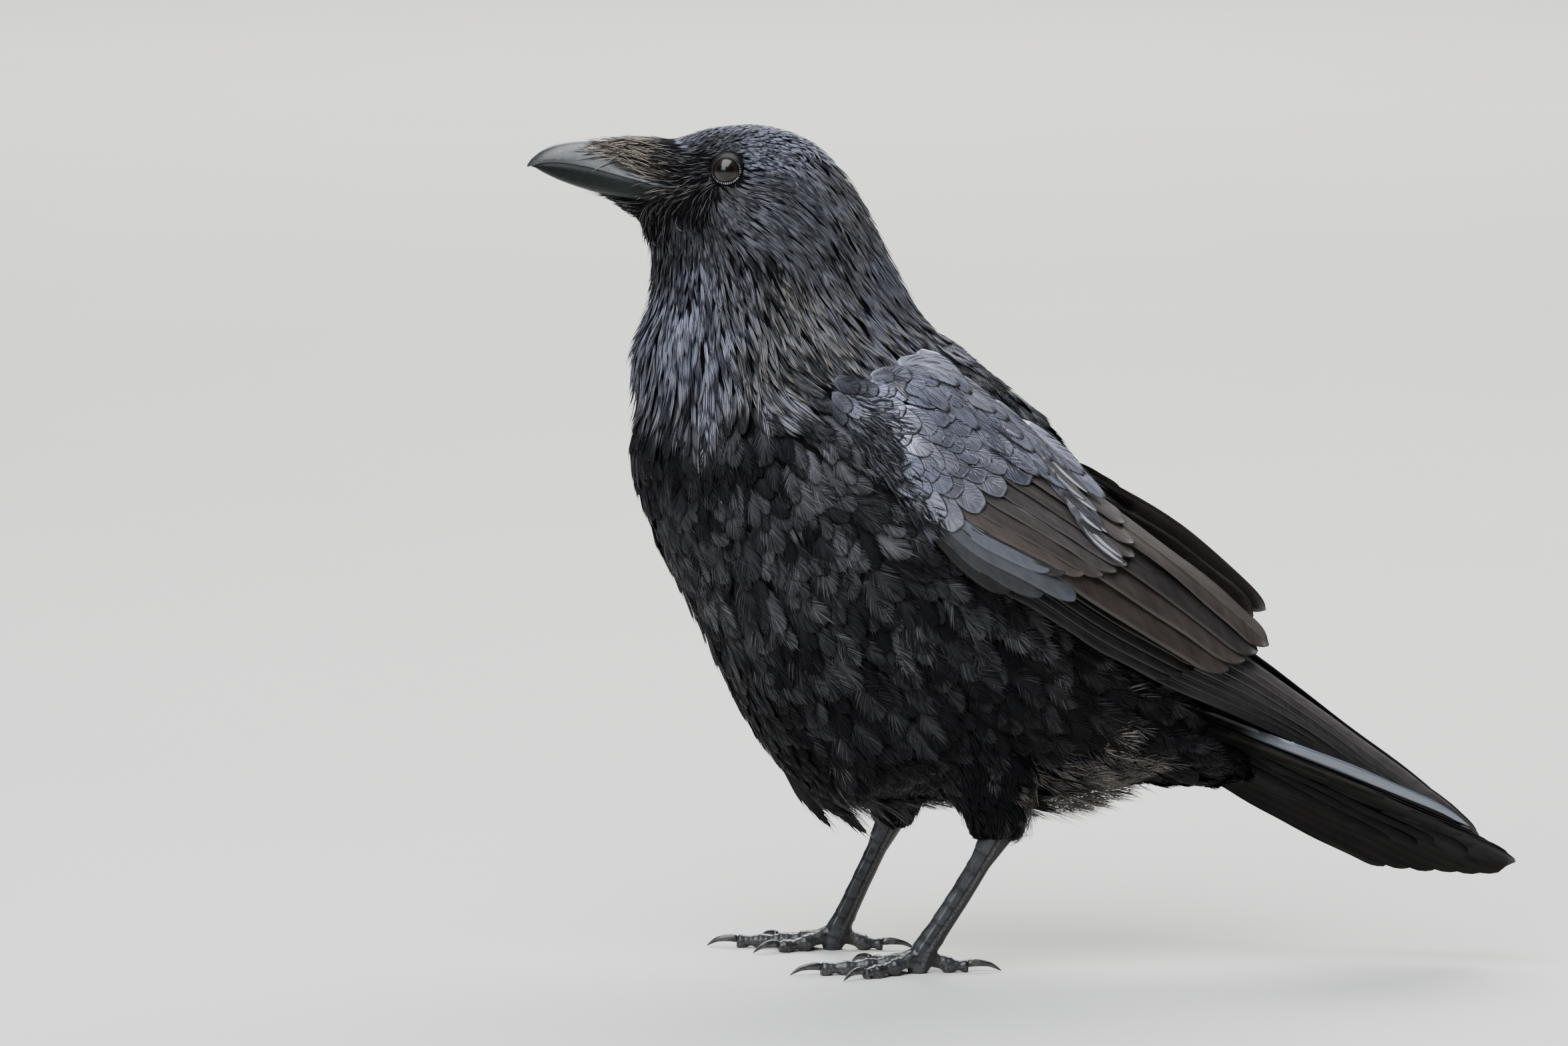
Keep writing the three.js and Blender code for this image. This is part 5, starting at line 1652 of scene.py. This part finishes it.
LAYING = {                   # how the feathers of each kind are laid
    "bristle": lambda coat, at: lay_bristles(coat, bed_of(at, 0.18)),
    "velvet": lambda coat, at: lay_bundles(coat, bed_of(at, 0.15), 5, tip=0.55, rings=4, fine=0.24),
    "silk": lambda coat, at: lay_bundles(coat, bed_of(at, 0.05), 6, tip=1.0, fine=0.18, bulge=0.1),
    "hackle": lambda coat, at: lay_bundles(coat, bed_of(at, 0.12), 7, tip=0.5, fine=0.2),
    "contour": lambda coat, at: lay_round(coat, bed_of(at, 0.24, roll=0.14, vary=0.2)),
    "wisp": lambda coat, at: lay_round(
        coat, bed_of(at, 0.2, roll=0.3), vane=False, loose=0.45, fine=0.04, rings=5),
    "down": lambda coat, at: lay_bundles(coat, bed_of(at, 0.2), 5, tip=0.8),
}
LOW_WISPS = [                # long wisps that hang from the breast's lowest end: root, tip, half width, wear
    ((-71, -8, 82), (-50.5, -7, 54), 2.1, 0.15), ((-63, -3, 76), (-47.5, -3, 57.5), 1.5, 0.15),
    ((-58, -10, 74), (-36.5, -10, 52), 2.5, 0.8), ((-54, 2, 72), (-40, 2, 54.5), 1.6, 0.4),
    ((-60, 8, 74), (-44, 8, 55), 2.0, 0.3), ((-66, 5, 78), (-53, 5, 57), 1.7, 0.2),
]


def hung(start, end, outward, length, half, tone, bow=0.0):
    """The bed of a single feather that hangs free from start to end, bowed forward."""
    path = drawn(np.linspace(start, end, PATH_STEPS + 1))[None]
    path[0, :, 0] -= bow * MM * np.sin(np.linspace(0, math.pi, PATH_STEPS + 1))
    up = np.tile(unit(np.array(outward)), (1, PATH_STEPS + 1, 1))
    return Bed(
        path, up, np.array([length * MM]), np.array([half * MM]), np.array([tone]), chart_of(path[:, 0]))


spots = undrawn(roots).T
for name, wanted, inside in PIECES:
    chosen = np.flatnonzero((kind == wanted) & inside(*spots))
    coat = Coat("coat_" + name, bristly if wanted == "bristle" else plumage, "plumage")
    LAYING[wanted](coat, chosen)
    if name == "vent":
        for side in SIDES.values():
            start, end = (60, 9 * side, 99), (92.5, 11.5 * side, 72.5)
            lobe = hung(start, end, (-0.2, side, -0.25), 42, 6.2, (0.03, 0.3, 0.15))
            lobe.vanes(coat, COVERT_STOPS, leaf, 0.12, COVERT_SECTION)
        for start, end, half, wear in LOW_WISPS:
            length = math.dist(start, end)
            wisp = hung(start, end, (-0.3, -1, -0.2), length, half, (0.03, wear, 0.2), bow=1.5)
            wisp.vanes(coat, COVERT_STOPS, pointed, 0.1, COVERT_SECTION)
            lay_round(coat, wisp, pairs=9, vane=False, loose=0.3, fine=0.09, rings=5)
    coat.make()

# ------------------------------------------------------------------ stage, light and camera
# A plain pale floor, soft light from above, from in front and from behind, and a long lens that
# looks a little down on the bird from its left.

VIEW_RISE = math.radians(7)
VIEW_DISTANCE = 3.5
VIEW_WIDTH = 0.611
VIEW_TARGET = drawn((-68.9, 0, 172.9))


def stage_finish():
    """Matt off-white, a little uneven."""
    finish = Finish("studio_paper")
    cloud = finish.noise(3, 2)
    colour = finish.blend(cloud, (0.56, 0.555, 0.54), (0.60, 0.595, 0.58))
    return finish.shade(Base_Color=colour, Roughness=0.9)


bpy.ops.object.select_all(action="DESELECT")
bpy.ops.mesh.primitive_plane_add(size=16, location=(0, 0, 0))
floor = bpy.context.object
floor.name = "floor"
floor.data.materials.append(stage_finish())

world = bpy.data.worlds.new("sky")
bpy.context.scene.world = world
world.use_nodes = True
world.node_tree.nodes["Background"].inputs["Color"].default_value = (0.80, 0.86, 0.95, 1)
world.node_tree.nodes["Background"].inputs["Strength"].default_value = 0.12

for name, place, size, power, colour in [
    ("sky", (-0.6, -1.0, 2.3), 2.2, 130, (0.93, 0.96, 1.0)),
    ("front", (-1.5, -2.0, 1.3), 1.3, 34, (0.98, 0.99, 1.0)),
    ("back", (0.9, 1.2, 1.9), 1.0, 36, (1.0, 0.99, 0.96)),
    ("backdrop", (0.0, 5.0, 4.0), 4.0, 620, (1.0, 0.99, 0.97)),
]:
    lamp = bpy.data.objects.new(name, bpy.data.lights.new(name, "AREA"))
    lamp.data.size = size
    lamp.data.energy = power
    lamp.data.color = colour
    lamp.location = place
    aim = np.array([0, 3.0, 0] if name == "backdrop" else [0, 0, 0.17]) - np.array(place)
    lamp.rotation_euler = Vector(aim).to_track_quat("-Z", "Y").to_euler()
    bpy.context.scene.collection.objects.link(lamp)

camera = bpy.data.objects.new("camera", bpy.data.cameras.new("camera"))
camera.data.sensor_width = 36
camera.data.lens = 36 * VIEW_DISTANCE / VIEW_WIDTH
camera.data.clip_end = 50
camera.location = VIEW_TARGET + VIEW_DISTANCE * np.array([0, -math.cos(VIEW_RISE), math.sin(VIEW_RISE)])
camera.rotation_euler = (math.pi / 2 - VIEW_RISE, 0, 0)
bpy.context.scene.collection.objects.link(camera)
bpy.context.scene.camera = camera
